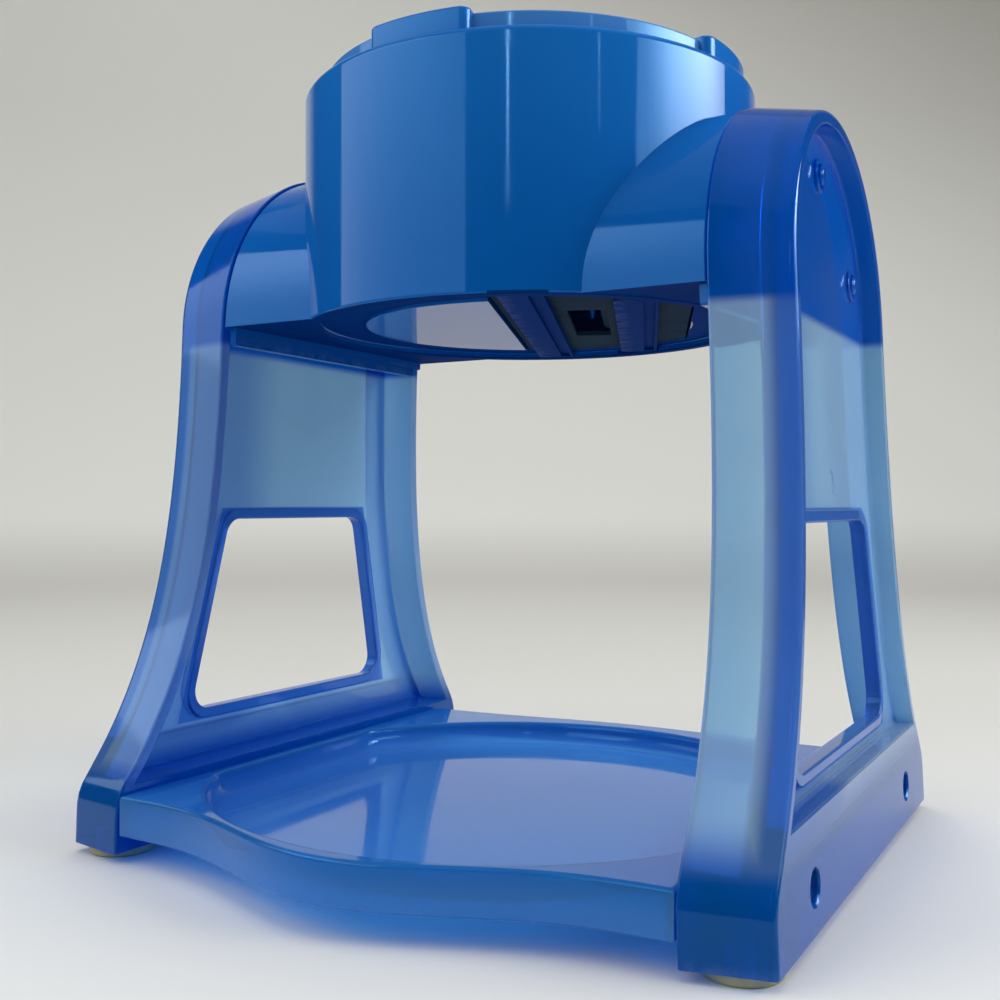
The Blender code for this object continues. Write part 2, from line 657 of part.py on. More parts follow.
def base_tray():
    """The shallow tray between the frames: skirt walls, a deck and a wide round dish for the bowl."""
    name = "base_tray"
    piece = new_object(name, mesh_from(prism_z(tray_outline(0), TRAY_BOTTOM, TRAY_TOP), name), "clear_blue")
    hollow = cut(piece, prism_z(tray_outline(TRAY_WALL), -MM, TRAY_TOP - TRAY_SKIN), "tray_hollow")
    cut(hollow, dish_solid(TRAY_SKIN), "tray_dish_shell")
    cut(piece, dish_solid(0), "tray_dish")
    outer = tray_half_width(TRAY_TOP)
    inner = outer - TRAY_BOSS_LENGTH
    for side in (-1, 1):
        for end in (-1, 1):
            y = end * BASE_SCREW_HALF_SPACING
            boss = rod_x(y, BASE_SCREW_HEIGHT, TRAY_BOSS_RADIUS, side * inner, side * (outer - MM),
                         TINY_STEPS)
            join(piece, boss, f"tray_boss_{side}_{end}")
            bore = rod_x(y, BASE_SCREW_HEIGHT, BASE_SCREW_SHANK_RADIUS + FIT, side * (inner + TRAY_BORE_END),
                         side * (outer + BEYOND), TINY_STEPS)
            cut(piece, bore, f"tray_bore_{side}_{end}")
    return piece


def half_round(radius, bottom, steps=18):
    """An arch outline of (y, z) points, closed by a straight line at the bottom."""
    start = math.asin(max(-1, min(1, (bottom - ARCH_HEIGHT) / radius)))
    sweep = math.pi - 2 * start
    return [(radius * math.cos(start + sweep * index / steps),
             ARCH_HEIGHT + radius * math.sin(start + sweep * index / steps)) for index in range(steps + 1)]


def drum_housing():
    """The drum, its two cheeks and the bayonet collar, moulded in one."""
    name = "drum_housing"
    inner = DRUM_RADIUS - DRUM_WALL
    floor_top = FLOOR_UNDERSIDE + FLOOR_THICKNESS
    collar_inner = COLLAR_RADIUS - COLLAR_WALL
    ledge_inner = collar_inner - LEDGE_WIDTH
    ledge_bottom = LEDGE_HEIGHT - LEDGE_THICKNESS
    outer = [(0, DRUM_BOTTOM), (DRUM_RADIUS - DRUM_EDGE, DRUM_BOTTOM),
             (DRUM_RADIUS, DRUM_BOTTOM + DRUM_EDGE),
             (DRUM_RADIUS, DRUM_SHOULDER - SHOULDER_ROUND),
             (DRUM_RADIUS - 0.3 * SHOULDER_ROUND, DRUM_SHOULDER - 0.3 * SHOULDER_ROUND),
             (DRUM_RADIUS - SHOULDER_ROUND, DRUM_SHOULDER), (COLLAR_RADIUS, DRUM_SHOULDER),
             (COLLAR_RADIUS, COLLAR_TOP - COLLAR_EDGE), (COLLAR_RADIUS - COLLAR_EDGE, COLLAR_TOP),
             (0, COLLAR_TOP)]
    piece = new_object(name, mesh_from(turned(outer), name), "blue")
    for side in (-1, 1):
        add_cheek(piece, side)
    cavity = [(0, floor_top), (inner, floor_top), (inner, ledge_bottom - LEDGE_GUSSET),
              (ledge_inner, ledge_bottom), (ledge_inner, LEDGE_HEIGHT), (collar_inner, LEDGE_HEIGHT),
              (collar_inner, COLLAR_TOP + BEYOND), (0, COLLAR_TOP + BEYOND)]
    cut(piece, turned(cavity), "drum_cavity")
    step_height = FLOOR_UNDERSIDE - FLOOR_STEP
    recess = [(0, DRUM_BOTTOM - BEYOND), (DRUM_RADIUS - LIP_WIDTH, DRUM_BOTTOM - BEYOND),
              (DRUM_RADIUS - LIP_WIDTH, FLOOR_UNDERSIDE), (FLOOR_STEP_RADIUS, FLOOR_UNDERSIDE),
              (FLOOR_STEP_RADIUS, step_height), (0, step_height)]
    cut(piece, turned(recess), "drum_underside")
    add_locks(piece)

    outlet = [outlet_point(OUTLET_LEFT, -OUTLET_RADIUS), outlet_point(OUTLET_RIGHT, -OUTLET_RADIUS),
              outlet_point(OUTLET_RIGHT, OUTLET_RADIUS), outlet_point(OUTLET_LEFT, OUTLET_RADIUS)]
    band = prism_z(outlet, FLOOR_UNDERSIDE - 5 * MM, floor_top + MM)
    opening = cut(piece, band, "outlet_cut")
    limit = turned(disc_profile(OUTLET_RADIUS, FLOOR_UNDERSIDE - BEYOND, floor_top + BEYOND))
    cut(opening, limit, "outlet_limit", "INTERSECT")
    bar_end = DRUM_RADIUS - LIP_WIDTH + MM
    for index, left in enumerate(BAR_LEFT_EDGES):
        reach = math.sqrt(bar_end ** 2 - max(abs(left), abs(left + BAR_WIDTH)) ** 2)
        middle = left + BAR_WIDTH / 2
        solid = prism_z(bar(middle, BAR_WIDTH / 2, -reach, reach), BAR_BOTTOM, FLOOR_UNDERSIDE + 0.05 * MM)
        join(piece, solid, f"outlet_bar_{index}")
    for end in (-1, 1):
        place = outlet_point(BLADE_SCREW_ACROSS, end * BLADE_SCREW_HALF_SPACING)
        bore = turned(disc_profile(BLADE_SCREW_SHANK_RADIUS + FIT, BAR_BOTTOM + BLADE_SCREW_BORE_FLOOR,
                                   FLOOR_UNDERSIDE + MM), TINY_STEPS, place)
        cut(piece, bore, f"blade_screw_bore_{end}")
    return piece


def add_cheek(piece, side):
    """One half round arm: flush with the frame outside, then stepped in to nest in its flange."""
    tag = "left" if side < 0 else "right"
    flush = ARCH_RADIUS - CHEEK_STEP_IN
    nested = ARCH_RADIUS - FRAME_WALL - 2 * FIT
    start = math.sqrt(DRUM_RADIUS ** 2 - ARCH_RADIUS ** 2) - 3 * MM
    step = FRAME_INNER - FRAME_WALL
    bottom = DRUM_BOTTOM + CHEEK_LIFT

    def arm(radius, floor, near, far):
        outline = half_round(radius, floor)
        return loft([[(side * near, y, z) for y, z in outline],
                     [(side * splay_x(far, z), y, z) for y, z in outline]])

    join(piece, arm(flush, bottom, start, FRAME_INNER - FIT), f"cheek_{tag}")
    join(piece, arm(nested, bottom + CHEEK_LIFT, step, WEB_INNER - FIT), f"cheek_nested_{tag}")
    rail_end = FRAME_INNER - 2 * FIT
    short = RAIL_HALF_LENGTH - RAIL_STEP
    low = bottom - RAIL_DEPTH
    middle = bottom - RAIL_DEPTH / 2
    rail_outline = [(-RAIL_HALF_LENGTH, low), (short, low), (short, middle), (RAIL_HALF_LENGTH, middle),
                    (RAIL_HALF_LENGTH, bottom + MM), (-RAIL_HALF_LENGTH, bottom + MM)]
    rail = loft([[(side * splay_x(x, z), y, z) for y, z in rail_outline]
                 for x in (rail_end - RAIL_WIDTH, rail_end)])
    join(piece, rail, f"rail_{tag}")
    floor = bottom + CHEEK_PLATE
    wide = arm(flush - CHEEK_WALL, floor, start, step - CHEEK_WALL)
    narrow = arm(nested - CHEEK_WALL, floor + CHEEK_LIFT, start, WEB_INNER + BEYOND)
    hollow = cut(piece, narrow, f"cheek_hollow_{tag}")
    join(hollow, wide, f"cheek_hollow_wide_{tag}")
    drum = turned(disc_profile(DRUM_RADIUS, DRUM_BOTTOM - BEYOND, DRUM_SHOULDER + BEYOND))
    cut(hollow, drum, f"cheek_hollow_drum_{tag}")
    for place, (y, z) in arch_screw_places().items():
        end = splay_x(WEB_INNER, z + BOSS_RADIUS) - 2 * FIT
        root = math.sqrt(DRUM_RADIUS ** 2 - (abs(y) + BOSS_RADIUS) ** 2) - MM
        boss = rod_x(y, z, BOSS_RADIUS, side * root, side * end, TINY_STEPS)
        join(piece, boss, f"boss_{tag}_{place}")
        bore = rod_x(y, z, ARCH_SCREW_SHANK_RADIUS + FIT, side * (end - ARCH_SCREW_SHANK_LENGTH),
                     side * (end + BEYOND), TINY_STEPS)
        cut(piece, bore, f"boss_bore_{tag}_{place}")


def lock_angles():
    return [360 * index / LOCK_COUNT for index in range(LOCK_COUNT)]


def add_locks(piece):
    """The thick segments on the collar, and the grooves that the lid's lugs turn in."""
    collar_inner = COLLAR_RADIUS - COLLAR_WALL
    groove = collar_inner + LUG_REACH + 2 * FIT
    for index, angle in enumerate(lock_angles()):
        hood = sector(collar_inner + FIT, LOCK_RADIUS, DRUM_SHOULDER - MM, LOCK_TOP, angle,
                      -LOCK_HALF_ANGLE, LOCK_HALF_ANGLE)
        join(piece, hood, f"lock_{index}")
        low, high = -LUG_HALF_ANGLE - 2, LOCK_TURN + LUG_HALF_ANGLE + 2
        track = sector(collar_inner - 2 * MM, groove, LUG_BOTTOM - FIT, LUG_BOTTOM + LUG_THICKNESS + FIT,
                       angle, low, high)
        cut(piece, track, f"lock_track_{index}")
        entry = sector(collar_inner - 2 * MM, groove, LUG_BOTTOM, LOCK_TOP + 5 * MM, angle,
                       LOCK_TURN - LUG_HALF_ANGLE - 2, high)
        cut(piece, entry, f"lock_entry_{index}")


def plate_outline(gap):
    """The cutter plate's plan: the outlet's band inside the outlet's circle, less a gap."""
    left = OUTLET_LEFT + gap
    right = OUTLET_RIGHT - gap
    radius = OUTLET_RADIUS - gap
    points = []
    for across_a, across_b, way in ((left, right, -1), (right, left, 1)):
        for index in range(9):
            across = across_a + (across_b - across_a) * index / 8
            points.append(outlet_point(across, way * math.sqrt(radius ** 2 - across ** 2)))
    return points


def cutter_plate():
    """The steel plate that fills the outlet, with the slot that the shavings fall through."""
    name = "cutter_plate"
    bottom = FLOOR_UNDERSIDE + FIT
    plate = prism_z(plate_outline(2 * FIT), bottom, bottom + PLATE_THICKNESS)
    piece = new_object(name, mesh_from(plate, name), "steel")
    slot = prism_z(bar(SLOT_LEFT + SLOT_WIDTH / 2, SLOT_WIDTH / 2, -SLOT_HALF_LENGTH, SLOT_HALF_LENGTH),
                   bottom - MM, bottom + PLATE_THICKNESS + MM)
    cut(piece, slot, "plate_slot")
    pivot = disc_profile(PIVOT_RADIUS + FIT, bottom - MM, bottom + PLATE_THICKNESS + MM)
    cut(piece, turned(pivot, SMALL_STEPS), "plate_pivot_hole")
    for end in (-1, 1):
        place = outlet_point(BLADE_SCREW_ACROSS, end * BLADE_SCREW_HALF_SPACING)
        hole = turned(disc_profile(BLADE_SCREW_SHANK_RADIUS + FIT, bottom - MM,
                                   bottom + PLATE_THICKNESS + MM), TINY_STEPS, place)
        cut(piece, hole, f"plate_screw_hole_{end}")
    return piece


def shaving_blade():
    """The blade: a strip with one ground edge that overhangs the slot."""
    name = "shaving_blade"
    low = BLADE_BOTTOM
    high = low + BLADE_THICKNESS
    left = BLADE_LEFT
    right = left + BLADE_WIDTH
    section = [(left, high - BLADE_EDGE), (left + BLADE_GRIND, low), (right, low), (right, high),
               (left, high)]
    loops = []
    for along in (-BLADE_HALF_LENGTH, BLADE_HALF_LENGTH):
        loops.append([(*outlet_point(across, along), z) for across, z in section])
    piece = new_object(name, mesh_from(loft(loops), name), "steel")
    for end in (-1, 1):
        place = outlet_point(BLADE_SCREW_ACROSS, end * BLADE_SCREW_HALF_SPACING)
        hole = turned(disc_profile(BLADE_SCREW_SHANK_RADIUS + FIT, low - MM, high + MM), TINY_STEPS, place)
        cut(piece, hole, f"blade_screw_hole_{end}")
    return piece


def blade_screws():
    """Two screws that go down through the blade and the plate into the second bar."""
    for end, word in ((-1, "front"), (1, "back")):
        x, y = outlet_point(BLADE_SCREW_ACROSS, end * BLADE_SCREW_HALF_SPACING)
        screw(f"blade_screw_{word}", BLADE_SCREW_HEAD_RADIUS, BLADE_SCREW_HEAD_HEIGHT,
              BLADE_SCREW_SHANK_RADIUS, BLADE_SCREW_SHANK_LENGTH, (x, y, BLADE_SCREW_SEAT), (0, 0, 1))


def lid():
    """The lid: a dished cover inside the collar, with lugs for the lock and a boss for the shaft."""
    name = "lid"
    seat = LEDGE_HEIGHT + FIT
    top = LID_RIM_TOP
    floor = seat + LID_THICKNESS
    bore = SHAFT_RADIUS + FIT + BUSH_WALL + FIT
    profile = [(bore, seat), (LID_RADIUS, seat), (LID_RADIUS, top), (LID_RADIUS - LID_RIM_WIDTH, top),
               (LID_RADIUS - LID_RIM_WIDTH - LID_RIM_SLOPE, floor), (LID_BOSS_RADIUS + MM, floor),
               (LID_BOSS_RADIUS, floor + 2 * MM),
               (LID_BOSS_RADIUS, LID_BOSS_TOP), (bore, LID_BOSS_TOP)]
    piece = new_object(name, mesh_from(turned(profile), name), "blue")
    for index, angle in enumerate(lock_angles()):
        lug = sector(LID_RADIUS - MM, COLLAR_RADIUS - COLLAR_WALL + LUG_REACH, LUG_BOTTOM,
                     LUG_BOTTOM + LUG_THICKNESS, angle, -LUG_HALF_ANGLE, LUG_HALF_ANGLE)
        join(piece, lug, f"lid_lug_{index}")
    rib_start = LID_BOSS_RADIUS - MM
    rib_end = LID_RADIUS - LID_RIB_FROM_EDGE
    half = LID_RIB_WIDTH / 2
    for index in range(LID_RIB_COUNT):
        rib = prism_z([(rib_start, -half), (rib_end, -half), (rib_end, half), (rib_start, half)],
                      floor - MM, floor + LID_RIB_HEIGHT)
        rib.transform(Matrix.Rotation(math.tau * (index + 0.5) / LID_RIB_COUNT, 4, "Z"))
        join(piece, rib, f"lid_rib_{index}")
    return piece


def shaft_bush():
    """The nylon bush in the lid's boss."""
    name = "shaft_bush"
    inner = SHAFT_RADIUS + FIT
    outer = inner + BUSH_WALL
    bottom = LEDGE_HEIGHT + FIT
    flange = LID_BOSS_TOP + FIT
    profile = [(inner, bottom), (outer, bottom), (outer, flange), (BUSH_FLANGE_RADIUS, flange),
               (BUSH_FLANGE_RADIUS, flange + BUSH_FLANGE), (inner, flange + BUSH_FLANGE)]
    return new_object(name, mesh_from(turned(profile, KNOB_STEPS), name), "nylon")


def crank_washer():
    name = "crank_washer"
    low = WASHER_BOTTOM
    profile = ring_profile(SHAFT_RADIUS + FIT, WASHER_RADIUS, low, low + WASHER_THICKNESS)
    return new_object(name, mesh_from(turned(profile, KNOB_STEPS), name), "steel")


def flatted_round(radius, flat, steps=SMALL_STEPS):
    """A round outline with two flats, as on a shaft's end or in the hub that it drives."""
    sweep = math.pi - 2 * math.acos(flat / radius)
    arc_steps = steps // 2
    points = []
    for middle in (math.pi / 2, 3 * math.pi / 2):
        for index in range(arc_steps + 1):
            angle = middle + sweep * (index / arc_steps - 0.5)
            points.append((radius * math.cos(angle), radius * math.sin(angle)))
    return points


def drive_shaft():
    """The shaft from the pivot in the floor to the crank, with flats where it drives."""
    name = "drive_shaft"
    stop_bottom = SHAFT_STOP_TOP - SHAFT_STOP_THICKNESS
    round_top = HUB_BOTTOM - FIT
    profile = [(0, SHAFT_BOTTOM), (PIVOT_RADIUS, SHAFT_BOTTOM), (PIVOT_RADIUS, stop_bottom),
               (SHAFT_STOP_RADIUS, stop_bottom), (SHAFT_STOP_RADIUS, SHAFT_STOP_TOP),
               (SHAFT_RADIUS, SHAFT_STOP_TOP), (SHAFT_RADIUS, round_top + CRANK_HUB_HEIGHT - MM),
               (0, round_top + CRANK_HUB_HEIGHT - MM)]
    piece = new_object(name, mesh_from(turned(profile, KNOB_STEPS), name), "steel")
    for side in (-1, 1):
        for tag, low, high in (("crank", round_top, round_top + CRANK_HUB_HEIGHT + BEYOND),
                               ("presser", SHAFT_STOP_TOP + MM, CLIP_BOTTOM - 3 * MM)):
            flat = prism_z([(CRANK_SHAFT_FLAT, -BEYOND), (BEYOND, -BEYOND), (BEYOND, BEYOND),
                            (CRANK_SHAFT_FLAT, BEYOND)], low, high)
            if side < 0:
                flat.transform(Matrix.Rotation(math.pi, 4, "Z"))
            flat.transform(Matrix.Rotation(math.radians(CRANK_ANGLE), 4, "Z"))
            cut(piece, flat, f"shaft_flat_{tag}_{side}")
    shaft_end = round_top + CRANK_HUB_HEIGHT
    tapped = turned(disc_profile(CAP_SCREW_SHANK_RADIUS + FIT, shaft_end - CAP_SCREW_LENGTH,
                                 shaft_end + BEYOND), TINY_STEPS)
    cut(piece, tapped, "shaft_tapped_hole")
    return piece


def shaft_clip():
    """The retaining clip under the lid, which the spring's upper end bears on."""
    name = "shaft_clip"
    low = CLIP_BOTTOM
    profile = ring_profile(SHAFT_RADIUS + FIT, CLIP_RADIUS, low, low + CLIP_THICKNESS)
    piece = new_object(name, mesh_from(turned(profile, KNOB_STEPS), name), "steel")
    gap = prism_z([(0, -2 * MM), (CLIP_RADIUS + MM, -2 * MM), (CLIP_RADIUS + MM, 2 * MM), (0, 2 * MM)],
                  low - MM, low + CLIP_THICKNESS + MM)
    cut(piece, gap, "clip_gap")
    return piece


def crank_arm():
    """The crank: hub on the shaft, tapering arm and the eye that holds the knob's pin."""
    name = "crank_arm"
    low = HUB_BOTTOM
    steps = 8
    hub_end = 0.95 * CRANK_EYE_RADIUS
    outline = []
    for index in range(steps + 1):
        angle = math.radians(95 + 170 * index / steps)
        outline.append((hub_end * math.cos(angle), hub_end * math.sin(angle)))
    for index in range(steps + 1):
        angle = math.radians(-85 + 170 * index / steps)
        x = CRANK_LENGTH + CRANK_EYE_RADIUS * math.cos(angle)
        outline.append((x, CRANK_EYE_RADIUS * math.sin(angle)))
    arm = prism_z(outline, low + CRANK_HUB_HEIGHT - CRANK_ARM_THICKNESS, low + CRANK_HUB_HEIGHT)
    piece = new_object(name, mesh_from(arm, name), "blue")
    hub = turned(disc_profile(CRANK_HUB_RADIUS, low, low + CRANK_HUB_HEIGHT), KNOB_STEPS)
    join(piece, hub, "crank_hub")
    socket = prism_z(flatted_round(SHAFT_RADIUS + FIT, CRANK_SHAFT_FLAT + FIT), low - MM,
                     low + CRANK_HUB_HEIGHT + MM)
    cut(piece, socket, "crank_socket")
    hole = turned(disc_profile(PIN_RADIUS + FIT, low - MM, low + CRANK_HUB_HEIGHT + BEYOND),
                  SMALL_STEPS, (CRANK_LENGTH, 0))
    cut(piece, hole, "crank_pin_hole")
    for tool in [piece] + [m.object for m in piece.modifiers]:
        tool.matrix_world = Matrix.Rotation(math.radians(CRANK_ANGLE), 4, "Z") @ tool.matrix_world
    return piece


def crank_screw():
    return screw("crank_screw", CAP_SCREW_HEAD_RADIUS, CAP_SCREW_HEAD_HEIGHT, CAP_SCREW_SHANK_RADIUS,
                 CAP_SCREW_LENGTH - 2 * MM, (0, 0, CRANK_TOP + FIT), (0, 0, 1))


def knob_place():
    angle = math.radians(CRANK_ANGLE)
    return CRANK_LENGTH * math.cos(angle), CRANK_LENGTH * math.sin(angle)


def crank_knob():
    """The knob that spins on its pin."""
    name = "crank_knob"
    low = CRANK_TOP + FIT
    inner = PIN_RADIUS + FIT
    profile = [(inner, low), (KNOB_RADIUS - 2 * MM, low), (KNOB_RADIUS - MM, low + 2 * MM)]
    steps = 6
    for index in range(1, steps + 1):
        share = index / steps
        swell = math.sin(math.pi * share / 2)
        waist = math.sin(math.pi * share) * (KNOB_RADIUS - KNOB_WAIST)
        radius = KNOB_RADIUS - MM - waist + 1.5 * MM * swell
        profile.append((radius, low + 2 * MM + share * (KNOB_HEIGHT - 7 * MM)))
    recess = KNOB_HEIGHT - PIN_HEAD_HEIGHT - MM
    profile += [(KNOB_RADIUS - 1.5 * MM, low + KNOB_HEIGHT - 1.5 * MM),
                (KNOB_RADIUS - 4 * MM, low + KNOB_HEIGHT),
                (PIN_HEAD_RADIUS + FIT, low + KNOB_HEIGHT), (PIN_HEAD_RADIUS + FIT, low + recess),
                (inner, low + recess)]
    return new_object(name, mesh_from(turned(profile, KNOB_STEPS, knob_place()), name), "blue")


def knob_pin():
    """The headed pin that holds the knob on the crank's eye, riveted over below."""
    name = "knob_pin"
    bottom = CRANK_TOP - CRANK_ARM_THICKNESS - FIT
    head = CRANK_TOP + FIT + KNOB_HEIGHT - PIN_HEAD_HEIGHT - MM + FIT
    profile = [(0, bottom - 1.5 * MM), (PIN_RADIUS + 0.6 * MM, bottom - 1.5 * MM),
               (PIN_RADIUS + MM, bottom),
               (PIN_RADIUS, bottom), (PIN_RADIUS, head), (PIN_HEAD_RADIUS, head),
               (PIN_HEAD_RADIUS, head + 1.2 * MM), (PIN_HEAD_RADIUS - 1.5 * MM, head + PIN_HEAD_HEIGHT),
               (0, head + PIN_HEAD_HEIGHT)]
    return new_object(name, mesh_from(turned(profile, SMALL_STEPS, knob_place()), name), "steel")


def ice_presser():
    """The spiked disc that grips the ice, keyed on the shaft and free to slide along it."""
    name = "ice_presser"
    bore = SHAFT_RADIUS + 1.2 * FIT
    profile = [(bore, PRESSER_BOTTOM), (PRESSER_RADIUS, PRESSER_BOTTOM),
               (PRESSER_RADIUS, PRESSER_BOTTOM + PRESSER_THICKNESS),
               (PRESSER_HUB_RADIUS, PRESSER_BOTTOM + PRESSER_THICKNESS),
               (PRESSER_HUB_RADIUS, PRESSER_HUB_TOP),
               (bore, PRESSER_HUB_TOP)]
    piece = new_object(name, mesh_from(turned(profile, ROUND_STEPS), name), "blue")
    for side in (-1, 1):
        key_in = CRANK_SHAFT_FLAT + FIT
        key_out = SHAFT_RADIUS + 2 * MM
        key = prism_z([(key_in, -2 * MM), (key_out, -2 * MM), (key_out, 2 * MM), (key_in, 2 * MM)],
                      PRESSER_BOTTOM + MM, PRESSER_HUB_TOP - MM)
        turn = CRANK_ANGLE + (0 if side > 0 else 180)
        key.transform(Matrix.Rotation(math.radians(turn), 4, "Z"))
        join(piece, key, f"presser_key_{side}")
    for radius, count, offset in SPIKE_RINGS:
        for index in range(count):
            angle = math.radians(offset + 360 * index / count)
            place = (radius * math.cos(angle), radius * math.sin(angle))
            root = PRESSER_BOTTOM + MM
            spike = turned([(0, SPIKE_TIP), (SPIKE_RADIUS, PRESSER_BOTTOM), (SPIKE_RADIUS, root), (0, root)],
                           6, place)
            join(piece, spike, f"spike_{round(radius / MM)}_{index}")
    return piece


def presser_spring():
    """The coil between the presser's hub and the clip under the lid."""
    name = "presser_spring"
    low = PRESSER_HUB_TOP + FIT + SPRING_WIRE
    high = CLIP_BOTTOM - FIT - SPRING_WIRE
    count = SPRING_TURNS * SPRING_STEPS
    path = bpy.data.curves.new(name + "_wire", "CURVE")
    path.dimensions = "3D"
    line = path.splines.new("POLY")
    line.points.add(count)
    for index in range(count + 1):
        turn = index / SPRING_STEPS
        height = low + (high - low) * index / count
        angle = math.tau * turn
        x = SPRING_RADIUS * math.cos(angle)
        line.points[index].co = (x, SPRING_RADIUS * math.sin(angle), height, 1)
    path.bevel_depth = SPRING_WIRE
    path.bevel_resolution = 1
    path.use_fill_caps = True
    path.materials.append(material("steel"))
    print("least gap between the spring's turns in mm", round(turn_gap(line.points) / MM, 2))
    piece = bpy.data.objects.new(name, path)
    bpy.context.scene.collection.objects.link(piece)
    return piece


def turn_gap(points):
    """The least free space between the wire of one turn and that of the next."""
    places = [Vector(point.co[:3]) for point in points]
    gaps = [(second - first).length - 2 * SPRING_WIRE
            for first, second in zip(places, places[SPRING_STEPS:])]
    return min(gaps)


def axis(name, place, pieces):
    """Hang pieces and their cutting tools on an empty at the line that they turn or slide about."""
    marker = bpy.data.objects.new(name, None)
    marker.location = place
    bpy.context.scene.collection.objects.link(marker)
    bpy.context.view_layer.update()
    for piece in pieces:
        for each in [piece] + [change.object for change in piece.modifiers]:
            each.parent = marker
            each.matrix_parent_inverse = marker.matrix_world.inverted()
    return marker


def build():
    clear_scene()
    for side, label in ((-1, "left"), (1, "right")):
        side_frame(side, f"side_frame_{label}")
        for end, word in ((-1, "front"), (1, "back")):
            foot(side, end, f"foot_{label}_{word}")
        frame_screws(side, label)
    base_tray()
    drum_housing()
    cutter_plate()
    shaving_blade()
    blade_screws()
    lid_axis = axis("lid_axis", (0, 0, LEDGE_HEIGHT), [lid(), shaft_bush()])
    turning = [crank_arm(), crank_washer(), drive_shaft(), shaft_clip(), crank_screw(), knob_pin(),
               presser_spring()]
    crank_axis = axis("crank_axis", (0, 0, HUB_BOTTOM), turning)
    knob_axis = axis("knob_axis", (*knob_place(), CRANK_TOP), [crank_knob()])
    presser_axis = axis("presser_axis", (0, 0, PRESSER_BOTTOM), [ice_presser()])
    for above, below in ((lid_axis, crank_axis), (crank_axis, knob_axis), (crank_axis, presser_axis)):
        below.parent = above
        below.matrix_parent_inverse = above.matrix_world.inverted()
    loose = [each for each in bpy.context.scene.objects if not each.parent]
    whole = bpy.data.objects.new("whole", None)
    bpy.context.scene.collection.objects.link(whole)
    for each in loose:
        each.parent = whole
    whole.location = (0, AXIS_BACK, 0)


build()
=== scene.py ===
"""The look of a hand cranked ice shaver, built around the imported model.

Every size is in metres, +Z is up and the front is towards -Y. Shapes are drawn about the
drum's axis and moved back by AXIS_BACK, as in the model. Run as a script it makes every
piece, the stage and the camera.
"""
import math

import bmesh
import bpy
from bpy.props import FloatProperty, FloatVectorProperty, PointerProperty
from mathutils import Matrix, Vector


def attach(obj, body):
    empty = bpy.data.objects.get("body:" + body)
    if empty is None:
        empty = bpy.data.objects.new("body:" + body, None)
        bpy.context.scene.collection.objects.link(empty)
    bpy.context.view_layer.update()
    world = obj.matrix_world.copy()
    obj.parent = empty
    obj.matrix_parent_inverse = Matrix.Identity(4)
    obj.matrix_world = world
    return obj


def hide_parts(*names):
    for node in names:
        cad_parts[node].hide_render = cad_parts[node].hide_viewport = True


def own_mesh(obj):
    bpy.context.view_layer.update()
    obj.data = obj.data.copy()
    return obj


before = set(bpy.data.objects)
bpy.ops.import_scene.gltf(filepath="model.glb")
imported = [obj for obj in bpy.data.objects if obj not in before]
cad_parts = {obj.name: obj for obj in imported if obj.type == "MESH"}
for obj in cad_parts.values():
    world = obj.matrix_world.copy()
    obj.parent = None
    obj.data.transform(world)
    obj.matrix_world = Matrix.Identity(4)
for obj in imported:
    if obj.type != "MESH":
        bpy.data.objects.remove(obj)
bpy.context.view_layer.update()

bl_info = {
    "name": "Ice Shaver",
    "version": (1, 0, 0),
    "blender": (4, 5, 0),
    "location": "View3D > Sidebar > Ice Shaver",
    "description": "Makes the pieces of a hand cranked ice shaver with their finishes and a studio stage",
    "category": "Add Mesh",
}

MM = 0.001
SIDES = {"left": -1, "right": 1}
ENDS = {"front": -1, "back": 1}

# Fits and fineness
FIT = 0.35 * MM
BEYOND = 9 * MM
TINY = 0.001 * MM
DRUM_STEPS = 192
ROUND_STEPS = 64
SMALL_STEPS = 32
ARC_STEPS = 4
EDGE = 0.8 * MM
SMALL_EDGE = 0.4 * MM
FINE_EDGE = 0.2 * MM
SHARP_ANGLE = 38
SECTOR_STEP = 2
SOFT_SECTOR_STEP = 3.2
SOFT_SECTOR_CORNER = 2.7

# Feet
FOOT_RADIUS = 12 * MM
FOOT_HEIGHT = 3.5 * MM
FOOT_STEM_RADIUS = 4 * MM
FOOT_STEM_HEIGHT = 6 * MM
FOOT_FROM_END = 16 * MM
SOLE_RING = 9 * MM
SOLE_RECESS = 0.5 * MM

# Drum
DRUM_RADIUS = 90 * MM
DRUM_WALL = 3.5 * MM
SHOULDER_ROUND = 2.5 * MM
LIP_WIDTH = 6 * MM
FLOOR_THICKNESS = 3 * MM
FLOOR_STEP_RADIUS = 66 * MM
FLOOR_STEP = 1.2 * MM
COLLAR_RADIUS = 82 * MM
COLLAR_WALL = 3.7 * MM
LEDGE_WIDTH = 4.5 * MM
LEDGE_THICKNESS = 2.5 * MM
LEDGE_GUSSET = 6 * MM
COLLAR_FLARE = 0.6 * MM
DRUM_FLOOR_FILLET = 3 * MM
DRUM_BOTTOM = 201 * MM
DRUM_SHOULDER = 291 * MM
FLOOR_UNDERSIDE = 204 * MM
COLLAR_TOP = 298.5 * MM
LEDGE_HEIGHT = 286.5 * MM

# Bayonet lock of the lid
LOCK_COUNT = 4
LOCK_HALF_ANGLE = 14
LOCK_RADIUS = 86 * MM
LOCK_TOP = 300 * MM
LUG_HALF_ANGLE = 6
LUG_REACH = 2 * MM
LUG_BOTTOM = 291.5 * MM
LUG_THICKNESS = 3 * MM
LOCK_TURN = 30
LOCK_EDGE = 1.2 * MM
LOCK_SPARE_ANGLE = 2

